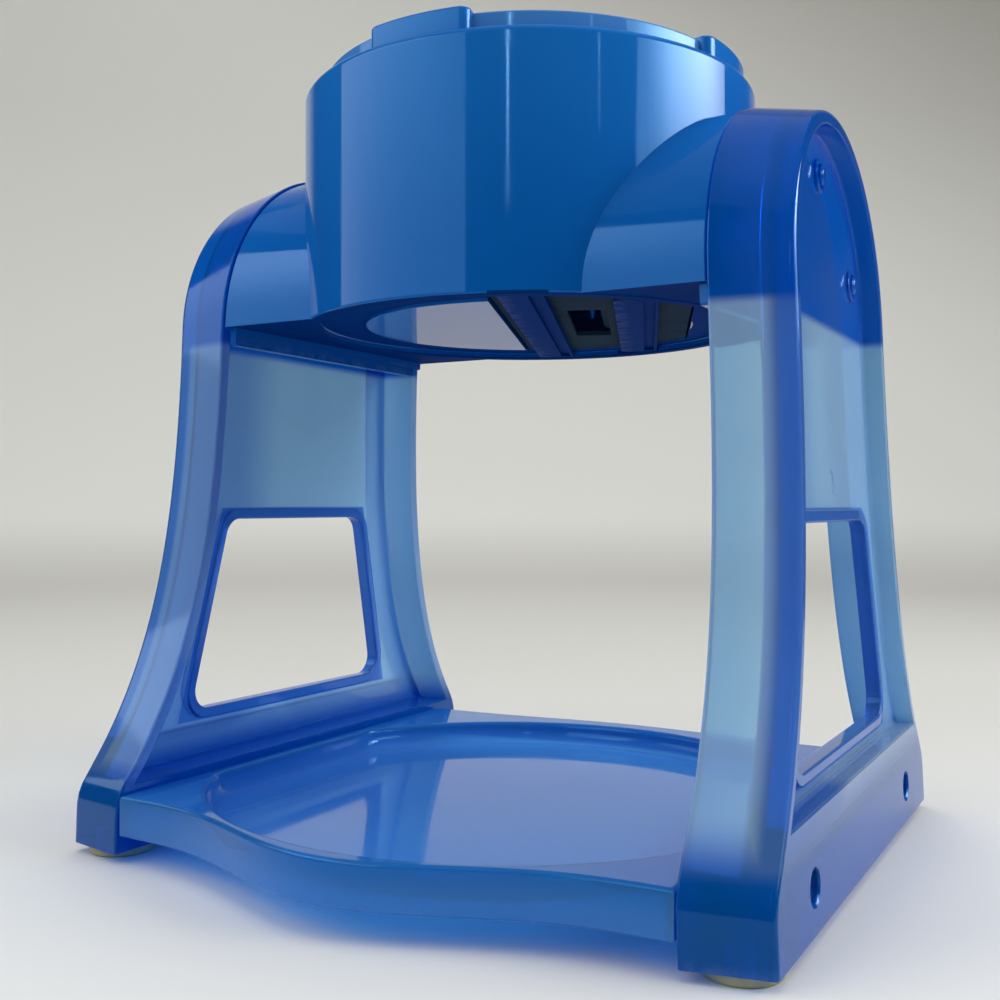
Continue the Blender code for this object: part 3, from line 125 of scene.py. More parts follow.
# Side frames
FRAME_INNER = 102 * MM
FRAME_OUTER = 129 * MM
WEB_INNER = 118 * MM
WEB_THICKNESS = 3 * MM
SPLAY = 0.04
SPLAY_HEIGHT = 150 * MM
ARCH_RADIUS = 70.8 * MM
ARCH_HEIGHT = 203 * MM
BASE_HALF_DEPTH = 118 * MM
LEG_STRAIGHT_REACH = 93 * MM
LEG_FLARE_IN = 33.5 * MM
LEG_FLARE_UP = 38 * MM
LEG_END_HEIGHT = 25 * MM
LEG_CORNER = 8 * MM
FRAME_DRAFT = 4.5 * MM
FRAME_WALL = 5 * MM
BLOCK_TOP_INSIDE = 28 * MM
BLOCK_TOP_OUTSIDE = 39 * MM
BLOCK_WALL = 3.5 * MM
BLOCK_END_SOLID = 34 * MM
BLOCK_CAVITY_HEIGHT = 19 * MM
WINDOW_TOP = 125 * MM
WINDOW_BOTTOM = 47 * MM
WINDOW_TOP_HALF = 46.5 * MM
WINDOW_BOTTOM_HALF = 66 * MM
WINDOW_CORNER = 8 * MM
WINDOW_RIM = 4.5 * MM
WINDOW_RIM_PROUD = 1.6 * MM
GATE_MARK_HEIGHT = 139 * MM
GATE_MARK_RADIUS = 4.6 * MM
GATE_MARK_DEPTH = 0.25 * MM

# Collar and well of an arch screw, as (distance out of the web, radius)
SCREW_COLLAR = ((-1 * MM, 6.4 * MM), (0.9 * MM, 6.2 * MM), (1.3 * MM, 5.8 * MM))
SCREW_WELL = ((0, 4.5 * MM), (3 * MM, 4.7 * MM))

# Mouth of a base screw's recess, as (distance out of the face, extra radius)
RECESS_MOUTH = ((-1 * MM, 0), (-0.5 * MM, 0.25 * MM), (0.2 * MM, 0.9 * MM), (BEYOND, 0.9 * MM))

# Screws
ARCH_SCREW_CIRCLE = 46 * MM
ARCH_SCREW_ANGLES = {"front": 163, "top": 90, "back": 17}
ARCH_SCREW_HEAD_RADIUS = 3.6 * MM
ARCH_SCREW_SHANK_RADIUS = 1.7 * MM
ARCH_SCREW_SHANK_LENGTH = 11 * MM
BASE_SCREW_HALF_SPACING = 72.5 * MM
BASE_SCREW_HEIGHT = 17.5 * MM
BASE_SCREW_RECESS_DEPTH = 6 * MM
BASE_SCREW_RECESS_RADIUS = 5.4 * MM
BASE_SCREW_SHANK_RADIUS = 2 * MM
BLADE_SCREW_SHANK_RADIUS = 1.4 * MM
CAP_SCREW_SHANK_RADIUS = 1.8 * MM
CAP_SCREW_LENGTH = 12 * MM
SCREW_SLOT = 0.9 * MM

# The kinds of screws, each as (head radius, head height, shank radius, shank length)
ARCH_SCREW = (ARCH_SCREW_HEAD_RADIUS, 2.2 * MM, ARCH_SCREW_SHANK_RADIUS, ARCH_SCREW_SHANK_LENGTH)
BASE_SCREW = (4.2 * MM, 3 * MM, BASE_SCREW_SHANK_RADIUS, 26.4 * MM)
BLADE_SCREW = (3 * MM, 1.6 * MM, BLADE_SCREW_SHANK_RADIUS, 5.4 * MM)
CAP_SCREW = (7.2 * MM, 2.4 * MM, CAP_SCREW_SHANK_RADIUS, CAP_SCREW_LENGTH - 2 * MM)

# Tray
TRAY_TOP = 25 * MM
TRAY_BOTTOM = 10 * MM
TRAY_SKIN = 3 * MM
TRAY_WALL = 3 * MM
TRAY_FRONT_REACH = 117 * MM
TRAY_FRONT_BOW = 24 * MM
TRAY_BACK_REACH = 98 * MM
TRAY_BACK_BOW = 7 * MM
TRAY_BOW_POWER = 1.5
TRAY_STEPS = 96
DISH_RADIUS = 113 * MM
DISH_FORWARD = 20 * MM
DISH_DEPTH = 9 * MM
DISH_SLOPE = 6 * MM
DISH_SIDE_MARGIN = 6 * MM
DISH_SIDE_SLOPE = 3 * MM
TRAY_FOOT_EDGE = 0.6 * MM
TRAY_BOSS_RADIUS = 5.3 * MM
TRAY_BOSS_LENGTH = 6 * MM
TRAY_BORE_END = 1.2 * MM

# Cheeks, the half round arms of the drum that the frames hold
CHEEK_STEP_IN = 0.8 * MM
CHEEK_LIFT = 0.4 * MM
CHEEK_WALL = 3 * MM
CHEEK_PLATE = 3 * MM
CHEEK_ROOT = 3 * MM
CHEEK_EDGE = 0.6 * MM
RAIL_DEPTH = 7 * MM
RAIL_WIDTH = 3 * MM
RAIL_HALF_LENGTH = 67 * MM
RAIL_STEP = 6 * MM
RAIL_EDGE = 1.2 * MM
BOSS_RADIUS = 4.5 * MM

# Ice outlet in the floor, the bars under it, the plate and the blade
OUTLET_ANGLE = 22
OUTLET_RADIUS = 80 * MM
OUTLET_LEFT = -8 * MM
OUTLET_RIGHT = 65 * MM
BAR_WIDTH = 16 * MM
BAR_BOTTOM = 201.6 * MM
BAR_GROOVE_LEFT = 10.5 * MM
BAR_GROOVE_WIDTH = 4.2 * MM
BAR_GROOVE_DEPTH = 1.5 * MM
BAR_GROOVE_FROM_END = 3 * MM
PLATE_THICKNESS = 2 * MM
PLATE_EDGE = 0.25 * MM
SLOT_LEFT = 17.5 * MM
SLOT_WIDTH = 15 * MM
SLOT_HALF_LENGTH = 33 * MM
SLOT_CORNER = 2 * MM
BLADE_LEFT = 29.5 * MM
BLADE_WIDTH = 14 * MM
BLADE_HALF_LENGTH = 31 * MM
BLADE_THICKNESS = 1.2 * MM
BLADE_GRIND = 2.5 * MM
BLADE_EDGE = 0.1 * MM
BLADE_SCREW_ACROSS = 40 * MM
BLADE_SCREW_HALF_SPACING = 21 * MM
BLADE_SCREW_BORE_FLOOR = 0.9 * MM
BAR_LEFT_EDGES = (-3 * MM, 36 * MM)
BLADE_BOTTOM = FLOOR_UNDERSIDE + PLATE_THICKNESS + 2 * FIT
BLADE_SCREW_SEAT = BLADE_BOTTOM + BLADE_THICKNESS + FIT

# Lid
LID_RADIUS = COLLAR_RADIUS - COLLAR_WALL - 2 * FIT
LID_THICKNESS = 3 * MM
LID_RIM_WIDTH = 3 * MM
LID_RIM_SLOPE = 2 * MM
LID_RIM_TOP = 297 * MM
LID_RIB_FROM_EDGE = 11.6 * MM
LID_RIB_COUNT = 6
LID_RIB_WIDTH = 2.5 * MM
LID_RIB_HEIGHT = 4 * MM
LID_RIB_EDGE = 0.6 * MM
LID_BOSS_RADIUS = 13 * MM
LID_BOSS_TOP = 303 * MM

# Crank train
SHAFT_RADIUS = 5 * MM
SHAFT_BOTTOM = 204.5 * MM
SHAFT_STOP_RADIUS = 9 * MM
SHAFT_STOP_THICKNESS = 3 * MM
PIVOT_RADIUS = 3 * MM
BUSH_WALL = 2 * MM
BUSH_FLANGE_RADIUS = 11 * MM
BUSH_FLANGE = 1.5 * MM
WASHER_THICKNESS = 1 * MM
WASHER_RADIUS = 10 * MM
CRANK_HUB_RADIUS = 12 * MM
CRANK_HUB_HEIGHT = 10 * MM
CRANK_LENGTH = 68 * MM
CRANK_ARM_THICKNESS = 5.5 * MM
CRANK_EYE_RADIUS = 9 * MM
CRANK_END_ANGLE = 85
CRANK_EDGE = 1.2 * MM
CRANK_ANGLE = 119
CRANK_SHAFT_FLAT = 3.6 * MM
KNOB_HEIGHT = 34 * MM
KNOB_RADIUS = 11.5 * MM
KNOB_WAIST = 8.5 * MM
KNOB_HEM = 1 * MM
KNOB_FOOT = 2 * MM
KNOB_SWELL = 1.5 * MM
KNOB_CROWN = 5 * MM
KNOB_CROWN_REACH = 4.5 * MM
PIN_RADIUS = 3 * MM
PIN_HEAD_RADIUS = 5 * MM
PIN_HEAD_HEIGHT = 2 * MM
CLIP_THICKNESS = 1.2 * MM
CLIP_RADIUS = 9.5 * MM
CLIP_GAP = 4 * MM

# Presser and its spring
PRESSER_RADIUS = 68 * MM
PRESSER_THICKNESS = 4 * MM
SPIKE_RINGS = ((58 * MM, 10, 0), (38 * MM, 6, 12))
SPIKE_RADIUS = 3 * MM
SPIKE_TIP = 211 * MM
PRESSER_BOTTOM = 219 * MM
PRESSER_HUB_RADIUS = 12 * MM
PRESSER_HUB_TOP = 235 * MM
PRESSER_KEY = 4 * MM
SPRING_TURNS = 6
SPRING_RADIUS = 9 * MM
SPRING_WIRE = 1 * MM

# Levels of the crank, one on top of the other
SHAFT_STOP_TOP = PRESSER_BOTTOM - FIT
CLIP_BOTTOM = LEDGE_HEIGHT - FIT - CLIP_THICKNESS
WASHER_BOTTOM = LID_BOSS_TOP + BUSH_FLANGE + 2 * FIT
HUB_BOTTOM = WASHER_BOTTOM + WASHER_THICKNESS + FIT
CRANK_TOP = HUB_BOTTOM + CRANK_HUB_HEIGHT

# The drum's axis lies this far behind the middle of the outline
AXIS_BACK = 11.5 * MM

# Tones of the finishes and of the stage that no setting changes
COLLAR_TONE = (0.20, 0.48, 0.80, 1.0)
SHINE_TONE = (0.25, 0.6, 1.0, 1.0)
# Painted shade: the floor's darker tone towards the rear
FAR_FLOOR_SHADE_TONE = (0.56, 0.55, 0.515, 1.0)
# Painted shade: the wall's darker tone towards the top right
WALL_SHADE_TONE = (0.22, 0.205, 0.17, 1.0)
# Painted dark reflection: the tone that reflections see instead of the wall
DARK_REFLECTION_TONE = (0.035, 0.035, 0.04, 1.0)
NYLON_TONES = ((0.80, 0.79, 0.74, 1.0), (0.70, 0.68, 0.60, 1.0))

# Stage: its way to the rear, its backdrop in metres and its lamps
REARWARD = (-0.487, 0.873, 0.0)
LEVEL_PART = (1.0, 1.0, 0.0)
STAGE_RINGS = (0.0, 0.4, 0.9)
STAGE_FLAT = 1.5
STAGE_CURVE = 1.1
STAGE_TOP = 3.2
STAGE_STEPS = 96
STAGE_CURVE_STEPS = 16
LAMP_DISTANCE = 1.2

# Camera: place, heading, pitch and roll in degrees, and lens in millimetres
CAMERA_PLACE = (222.56 * MM, -411.68 * MM, 130.79 * MM)
CAMERA_HEADING = 29.154
CAMERA_PITCH = 0.265
CAMERA_ROLL = 0.032
CAMERA_LENS = 42.27
CAMERA_SENSOR = 36


class ShaverSizes(bpy.types.PropertyGroup):
    """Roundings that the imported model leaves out."""

    frame_inside_round: FloatProperty(
        name="Frame inside edge", description="Rounding of the frames' edges towards the tray",
        default=0.9 * MM, min=0.1 * MM, max=2 * MM, subtype="DISTANCE", unit="LENGTH")
    frame_outside_round: FloatProperty(
        name="Frame outside edge", description="Rounding of the frames' outer edges",
        default=2 * MM, min=0.1 * MM, max=3 * MM, subtype="DISTANCE", unit="LENGTH")
    pocket_fillet: FloatProperty(
        name="Pocket fillet", description="Fillet where a frame's flange meets its web",
        default=1.5 * MM, min=0.1 * MM, max=3 * MM, subtype="DISTANCE", unit="LENGTH")
    tray_edge_round: FloatProperty(
        name="Tray edge", description="Rounding of the tray's top edge",
        default=1.6 * MM, min=0.1 * MM, max=2.5 * MM, subtype="DISTANCE", unit="LENGTH")
    dish_edge_round: FloatProperty(
        name="Dish edge", description="Rounding of the dish's rim",
        default=2.2 * MM, min=0.1 * MM, max=4 * MM, subtype="DISTANCE", unit="LENGTH")
    drum_edge_round: FloatProperty(
        name="Drum edge", description="Rounding of the drum's lower edge",
        default=1.2 * MM, min=0.1 * MM, max=2 * MM, subtype="DISTANCE", unit="LENGTH")


class ShaverColours(bpy.types.PropertyGroup):
    """Colours of the finishes and of the stage."""

    drum_light: FloatVectorProperty(
        name="Drum light", description="Colour of the drum where its wall is clear of the floor",
        default=(0.010, 0.165, 0.56), size=3, min=0, max=1, subtype="COLOR")
    drum_deep: FloatVectorProperty(
        name="Drum deep", description="Colour of the drum in its thick parts",
        default=(0.002, 0.115, 0.46), size=3, min=0, max=1, subtype="COLOR")
    frame_light: FloatVectorProperty(
        name="Frame light", description="Colour of the frames' thin walls",
        default=(0.55, 0.78, 0.92), size=3, min=0, max=1, subtype="COLOR")
    frame_deep: FloatVectorProperty(
        name="Frame deep", description="Colour of the frames' thick parts",
        default=(0.001, 0.17, 0.68), size=3, min=0, max=1, subtype="COLOR")
    tray_light: FloatVectorProperty(
        name="Tray light", description="Colour of the tray towards its underside",
        default=(0.12, 0.42, 0.84), size=3, min=0, max=1, subtype="COLOR")
    tray_deep: FloatVectorProperty(
        name="Tray deep", description="Colour of the tray at its deck",
        default=(0.03, 0.29, 0.72), size=3, min=0, max=1, subtype="COLOR")
    foot: FloatVectorProperty(
        name="Foot", description="Colour of the soft feet",
        default=(0.40, 0.37, 0.22), size=3, min=0, max=1, subtype="COLOR")
    floor: FloatVectorProperty(
        name="Floor", description="Colour of the studio floor",
        default=(0.69, 0.685, 0.66), size=3, min=0, max=1, subtype="COLOR")
    wall: FloatVectorProperty(
        name="Wall", description="Colour of the studio wall",
        default=(0.76, 0.755, 0.715), size=3, min=0, max=1, subtype="COLOR")


def arc(steps=ARC_STEPS):
    """Pairs that go from (0, 1) to (1, 0) along a quarter circle that bulges towards (0, 0)."""
    angles = [math.pi / 2 * index / steps for index in range(steps + 1)]
    return [(1 - math.cos(angle), 1 - math.sin(angle)) for angle in angles]


def on_circle(radius, degrees):
    angle = math.radians(degrees)
    return radius * math.cos(angle), radius * math.sin(angle)


def skin(loops):
    """A closed mesh through loops of points that all have the same length."""
    work = bmesh.new()
    rings = [[work.verts.new(point) for point in loop] for loop in loops]
    count = len(rings[0])
    for low, high in zip(rings, rings[1:]):
        for index in range(count):
            after = (index + 1) % count
            work.faces.new((low[index], low[after], high[after], high[index]))
    work.faces.new(reversed(rings[0]))
    work.faces.new(rings[-1])
    return as_mesh(work)


def as_mesh(work):
    bmesh.ops.recalc_face_normals(work, faces=work.faces)
    mesh = bpy.data.meshes.new("work")
    work.to_mesh(mesh)
    work.free()
    return mesh


def prism_z(outline, levels):
    """A mesh over a plan outline, drawn by a function of its inset, at (height, inset) levels."""
    return skin([[(x, y, height) for x, y in outline(inset)] for height, inset in levels])


def plain_prism(outline, bottom, top):
    return skin([[(x, y, z) for x, y in outline] for z in (bottom, top)])


def rectangle(left, right, near, far):
    return [(left, near), (right, near), (right, far), (left, far)]


def turned(profile, steps=DRUM_STEPS, centre=(0, 0)):
    """A closed mesh turned about Z from a closed profile of (radius, z) points."""
    work = bmesh.new()
    rings = []
    for radius, z in profile:
        if radius < TINY:
            rings.append([work.verts.new((centre[0], centre[1], z))])
            continue
        angles = [math.tau * index / steps for index in range(steps)]
        rings.append([work.verts.new((centre[0] + radius * math.cos(angle),
                                      centre[1] + radius * math.sin(angle), z)) for angle in angles])
    for low, high in zip(rings, rings[1:] + rings[:1]):
        if len(low) == 1 and len(high) == 1:
            continue
        for index in range(steps):
            after = (index + 1) % steps
            if len(low) == 1:
                work.faces.new((low[0], high[after], high[index]))
            elif len(high) == 1:
                work.faces.new((low[index], low[after], high[0]))
            else:
                work.faces.new((low[index], low[after], high[after], high[index]))
    return as_mesh(work)


def softened(corners, steps=ARC_STEPS):
    """An outline of (x, y, radius) corners with each corner replaced by its arc, or kept at nought."""
    points = []
    count = len(corners)
    for index, (x, y, radius) in enumerate(corners):
        if not radius:
            points.append((x, y))
            continue
        corner = Vector((x, y))
        before = (Vector(corners[index - 1][:2]) - corner).normalized()
        after = (Vector(corners[(index + 1) % count][:2]) - corner).normalized()
        half = before.angle(after) / 2
        reach = radius / math.tan(half)
        centre = corner + (before + after).normalized() * radius / math.sin(half)
        first = corner + before * reach - centre
        last = corner + after * reach - centre
        sweep = first.angle_signed(last)
        for step in range(steps + 1):
            spoke = first.copy()
            spoke.rotate(Matrix.Rotation(-sweep * step / steps, 2))
            points.append(tuple(centre + spoke))
    return points


def disc(radius, bottom, top, edge=0):
    """A profile of a disc, with its two rims rounded."""
    return softened([(0, bottom, 0), (radius, bottom, edge), (radius, top, edge), (0, top, 0)])


def ring(inner, outer, bottom, top, edge=0):
    return softened([(inner, bottom, edge), (outer, bottom, edge), (outer, top, edge), (inner, top, edge)])


def rod_x(y, z, levels, steps=SMALL_STEPS):
    """A rod along X about a point (y, z), with (x, radius) levels."""
    angles = [math.tau * index / steps for index in range(steps)]
    return skin([[(x, y + radius * math.cos(angle), z + radius * math.sin(angle)) for angle in angles]
                 for x, radius in levels])


def sector_outline(inner, outer, middle, low, high, step):
    """A plan outline of a block bent round the axis, between two radii and two angles."""
    count = max(2, math.ceil((high - low) / step))
    angles = [middle + low + (high - low) * index / count for index in range(count + 1)]
    outline = [on_circle(outer, angle) for angle in angles]
    return outline + [on_circle(inner, angle) for angle in reversed(angles)]


def sector(inner, outer, bottom, top, middle, low, high):
    """The block itself, with sharp edges."""
    return plain_prism(sector_outline(inner, outer, middle, low, high, SECTOR_STEP), bottom, top)


def soft_sector(inner, outer, bottom, top, middle, half, edge):
    """A block with a rounded top edge and its two outer corners rounded in plan."""
    def outline(inset):
        reach = half - math.degrees(inset / outer)
        plan = sector_outline(inner + inset, outer - inset, middle, -reach, reach, SOFT_SECTOR_STEP)
        rounded = (0, len(plan) // 2 - 1)
        return softened([(x, y, SOFT_SECTOR_CORNER * edge if index in rounded else 0)
                         for index, (x, y) in enumerate(plan)], 8)

    levels = [(bottom, 0)] + [(top - edge * across, edge * along) for along, across in arc()]
    return prism_z(outline, levels)


def worked(mesh, steps):
    """A mesh after joins, cuts and limits with closed tools, each given as (operation, tool mesh)."""
    scene = bpy.context.scene
    blank = bpy.data.objects.new("blank", mesh)
    scene.collection.objects.link(blank)
    tools = []
    for operation, tool_mesh in steps:
        tool = bpy.data.objects.new("tool", tool_mesh)
        scene.collection.objects.link(tool)
        tools.append(tool)
        change = blank.modifiers.new("change", "BOOLEAN")
        change.operation = operation
        change.solver = "MANIFOLD"
        change.object = tool
    graph = bpy.context.evaluated_depsgraph_get()
    graph.update()
    made = bpy.data.meshes.new_from_object(blank.evaluated_get(graph))
    for each in [blank] + tools:
        old = each.data
        bpy.data.objects.remove(each)
        bpy.data.meshes.remove(old)
    if not made.polygons:
        raise RuntimeError("a cut left nothing of a piece")
    return made


def cut(tool):
    return ("DIFFERENCE", tool)


def join(tool):
    return ("UNION", tool)


def bore_z(radius, low, high, centre=(0, 0), steps=ROUND_STEPS):
    return cut(turned(disc(radius, low, high), steps, centre))


def rods_x(side, radius, near, far, centres, operation):
    """A straight rod along X at each (y, z) centre, to join or to cut."""
    return [operation(rod_x(y, z, [(side * near, radius), (side * far, radius)])) for y, z in centres]


def turn_z(mesh, degrees):
    mesh.transform(Matrix.Rotation(math.radians(degrees), 4, "Z"))
    return mesh


def place(node, mesh, finish, body):
    """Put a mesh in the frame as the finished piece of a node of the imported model."""
    name = f"{node}_finished"
    work = bmesh.new()
    work.from_mesh(mesh)
    bmesh.ops.remove_doubles(work, verts=work.verts, dist=2 * TINY)
    bmesh.ops.dissolve_degenerate(work, edges=work.edges, dist=2 * TINY)
    bmesh.ops.transform(work, matrix=Matrix.Translation((0, AXIS_BACK, 0)), verts=work.verts)
    work.to_mesh(mesh)
    work.free()
    mesh.materials.clear()
    mesh.materials.append(finish)
    mesh.name = name
    mesh.shade_smooth()
    mesh.set_sharp_from_angle(angle=math.radians(SHARP_ANGLE))
    piece = bpy.data.objects.new(name, mesh)
    bpy.context.scene.collection.objects.link(piece)
    shading = piece.modifiers.new("even shading", "WEIGHTED_NORMAL")
    shading.keep_sharp = True
    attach(piece, body)
    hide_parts(node)
    return piece


def splay_x(x, z):
    return x + SPLAY * (SPLAY_HEIGHT - z)


def splayed(mesh, side):
    """Lean a frame's points outwards towards the floor, on the side given as 1 or -1."""
    for vert in mesh.vertices:
        vert.co.x = side * splay_x(vert.co.x, vert.co.z)
    if side < 0:
        mesh.flip_normals()
    return mesh


def half_line():
    """Half of a frame's outline from the arch's top to the block's side, as (depth, height) points."""
    points = []
    for index in range(37):
        angle = math.pi / 2 * (1 - index / 36)
        points.append(Vector((ARCH_RADIUS * math.cos(angle), ARCH_HEIGHT + ARCH_RADIUS * math.sin(angle))))
    start = Vector((ARCH_RADIUS, ARCH_HEIGHT))
    end = Vector((BASE_HALF_DEPTH, LEG_END_HEIGHT))
    first = start - Vector((0, LEG_STRAIGHT_REACH))
    second = end + Vector((-LEG_FLARE_IN, LEG_FLARE_UP))
    leg = []
    for index in range(1, 49):
        t = index / 48
        leg.append((1 - t) ** 3 * start + 3 * (1 - t) ** 2 * t * first
                   + 3 * (1 - t) * t ** 2 * second + t ** 3 * end)
    points += [point for point in leg if (point - end).length > LEG_CORNER]
    above = end + (second - end).normalized() * LEG_CORNER
    below = end - Vector((0, LEG_CORNER))
    for index in range(9):
        t = index / 8
        points.append((1 - t) ** 2 * above + 2 * (1 - t) * t * end + t ** 2 * below)
    return points


def frame_outline(inset, bottom, count=84):
    """A frame's outline seen along X, set in by a distance and cut off at a height."""
    half = half_line()
    inner = []
    for index, point in enumerate(half):
        ahead = half[min(index + 1, len(half) - 1)]
        behind = half[max(index - 1, 0)]
        along = (ahead - behind).normalized() if index else Vector((1, 0))
        inner.append(point - Vector((-along.y, along.x)) * inset)
    kept = []
    for point in inner:
        if point.y <= bottom + 0.05 * MM:
            break
        kept.append(point)
    if len(kept) < len(inner):
        above = kept[-1]
        below = inner[len(kept)]
        kept.append(above.lerp(below, (above.y - bottom) / (above.y - below.y)))
    else:
        kept.append(Vector((BASE_HALF_DEPTH - inset, bottom)))
    kept = spaced(kept, count)
    mirrored = [(-point.x, point.y) for point in reversed(kept[1:])]
    return mirrored + [(point.x, point.y) for point in kept]


def spaced(points, count):
    """The same line through a number of points at equal steps along it."""
    lengths = [0]
    for first, second in zip(points, points[1:]):
        lengths.append(lengths[-1] + (second - first).length)
    made = []
    at = 0
    for index in range(count + 1):
        want = lengths[-1] * index / count
        while at < len(points) - 2 and lengths[at + 1] < want:
            at += 1
        share = (want - lengths[at]) / (lengths[at + 1] - lengths[at])
        made.append(points[at].lerp(points[at + 1], min(1, share)))
    return made


def window_outline(grow=0):
    slope = (WINDOW_BOTTOM_HALF - WINDOW_TOP_HALF) / (WINDOW_TOP - WINDOW_BOTTOM)
    top = WINDOW_TOP + grow
    bottom = WINDOW_BOTTOM - grow
    top_half = WINDOW_TOP_HALF + grow * (1 - slope)
    bottom_half = WINDOW_BOTTOM_HALF + grow * (1 + slope)
    radius = WINDOW_CORNER + grow
    return softened([(-bottom_half, bottom, radius), (bottom_half, bottom, radius),
                     (top_half, top, radius), (-top_half, top, radius)], 10)


def along_x(outline, levels):
    """A mesh along X over an outline seen from the side, at (x, size) levels."""
    return skin([[(x, y, z) for y, z in outline(size)] for x, size in levels])


def arch_screw_places():
    places = {}
    for name, degrees in ARCH_SCREW_ANGLES.items():
        along, up = on_circle(ARCH_SCREW_CIRCLE, degrees)
        places[name] = (along, ARCH_HEIGHT + up)
    return places


def frame_body(sizes):
    """The frame's blank, with its inner and outer edges rounded and its sides drafted."""
    near = sizes.frame_inside_round
    far = sizes.frame_outside_round
    levels = [(FRAME_INNER + near * along, near * across) for along, across in arc()]
    levels += [(FRAME_OUTER - far * along, FRAME_DRAFT + far * across) for along, across in reversed(arc())]
    return along_x(lambda inset: frame_outline(inset, FOOT_HEIGHT), levels)


def pocket(floor, mouth, inset, bottom, sizes):
    """A tool for one of a frame's pockets: filleted at the web and flared at the mouth."""
    way = 1 if mouth > floor else -1
    fillet = sizes.pocket_fillet
    levels = [(floor + way * fillet * along, fillet * across) for along, across in arc()]
    levels += [(mouth - way * EDGE * across, -EDGE * along) for along, across in arc()]
    levels.append((mouth + way * BEYOND, -EDGE))
    return along_x(lambda size: frame_outline(inset + size, bottom + size), levels)


def window_steps():
    """The proud rim of the window and the hole through it."""
    near = WEB_INNER - WINDOW_RIM_PROUD
    far = WEB_INNER + WEB_THICKNESS + WINDOW_RIM_PROUD
    rim = [(near + EDGE * along, WINDOW_RIM - EDGE * across) for along, across in arc()]
    rim += [(far - EDGE * along, WINDOW_RIM - EDGE * across) for along, across in reversed(arc())]
    hole = [(FRAME_INNER, EDGE)]
    hole += [(near + EDGE * across, EDGE * along) for along, across in reversed(arc())]
    hole += [(far - EDGE * across, EDGE * along) for along, across in arc()]
    hole.append((FRAME_OUTER, EDGE))
    return [join(along_x(window_outline, rim)), cut(along_x(window_outline, hole))]


def web_steps():
    """The collars and wells of the arch's screws and the gate's mark, on the web's outer face."""
    face = WEB_INNER + WEB_THICKNESS
    steps = []
    for y, z in arch_screw_places().values():
        collar = rod_x(y, z, [(face + out, radius) for out, radius in SCREW_COLLAR], ROUND_STEPS)
        well = rod_x(y, z, [(face + out, radius) for out, radius in SCREW_WELL], ROUND_STEPS)
        steps += [join(collar), cut(well)]
    mark = [(face + out, GATE_MARK_RADIUS) for out in (-GATE_MARK_DEPTH, 2 * MM)]
    return steps + [cut(rod_x(0, GATE_MARK_HEIGHT, mark, ROUND_STEPS))]


def base_screw_places():
    return [(end * BASE_SCREW_HALF_SPACING, BASE_SCREW_HEIGHT) for end in ENDS.values()]


def block_steps(side):
    """The cavity of the foot block, with the sockets of its feet and its screw recesses."""
    end_wall = BASE_HALF_DEPTH - BLOCK_END_SOLID
    roof = BLOCK_CAVITY_HEIGHT + FOOT_HEIGHT
    cavity = skin([[(x, y, z) for y, z in rectangle(-end_wall, end_wall, -MM, roof)]
                   for x in (FRAME_INNER + BLOCK_WALL, FRAME_OUTER - BLOCK_WALL - BASE_SCREW_RECESS_DEPTH)])
    steps = [cut(splayed(cavity, side))]
    face = splay_x(FRAME_OUTER, BASE_SCREW_HEIGHT)
    recess = [(side * (face - BASE_SCREW_RECESS_DEPTH), BASE_SCREW_RECESS_RADIUS)]
    recess += [(side * (face + out), BASE_SCREW_RECESS_RADIUS + wider) for out, wider in RECESS_MOUTH]
    for end in ENDS.values():
        steps.append(bore_z(FOOT_STEM_RADIUS + FIT, -MM, FOOT_HEIGHT + FOOT_STEM_HEIGHT + FIT,
                            foot_place(side, end), SMALL_STEPS))
    steps += [cut(rod_x(y, z, recess, ROUND_STEPS)) for y, z in base_screw_places()]
    return steps + rods_x(side, BASE_SCREW_SHANK_RADIUS + FIT, FRAME_INNER - BEYOND, face,
                          base_screw_places(), cut)


def side_frame(side, label, sizes, finish):
    """One frame: arched flange, thin web with a rimmed window, moulding marks and the foot block."""
    web_outer = WEB_INNER + WEB_THICKNESS
    steps = [
        cut(pocket(WEB_INNER, FRAME_INNER, FRAME_WALL, BLOCK_TOP_INSIDE, sizes)),
        cut(pocket(web_outer, FRAME_OUTER, FRAME_WALL + FRAME_DRAFT, BLOCK_TOP_OUTSIDE, sizes)),
    ]
    steps += window_steps() + web_steps()
    for _, tool in steps:
        splayed(tool, side)
    steps += block_steps(side)
    for y, z in arch_screw_places().values():
        x = splay_x(WEB_INNER, z)
        steps += rods_x(side, ARCH_SCREW_SHANK_RADIUS + FIT, x - BEYOND, x + BEYOND, [(y, z)], cut)
    mesh = worked(splayed(frame_body(sizes), side), steps)
    return place(f"side_frame_{label}", mesh, finish, "stand")


def foot_place(side, end):
    middle = (FRAME_INNER + FRAME_OUTER) / 2
    return side * splay_x(middle, FOOT_HEIGHT), end * (BASE_HALF_DEPTH - FOOT_FROM_END)


def foot(side, end, label, finish):
    """A round soft foot with a ringed sole and a stem that pushes into the block."""
    top = FOOT_HEIGHT - FIT
    stem_top = FOOT_HEIGHT + FOOT_STEM_HEIGHT
    profile = softened([(0, SOLE_RECESS, 0), (SOLE_RING - 0.4 * MM, SOLE_RECESS, FINE_EDGE),
                        (SOLE_RING, 0, FINE_EDGE), (FOOT_RADIUS, 0, 0.9 * MM), (FOOT_RADIUS, top, SMALL_EDGE),
                        (FOOT_STEM_RADIUS, top, 0), (FOOT_STEM_RADIUS, stem_top, EDGE), (0, stem_top, 0)])
    mesh = turned(profile, ROUND_STEPS, foot_place(side, end))
    return place(f"foot_{label}", mesh, finish, "stand")


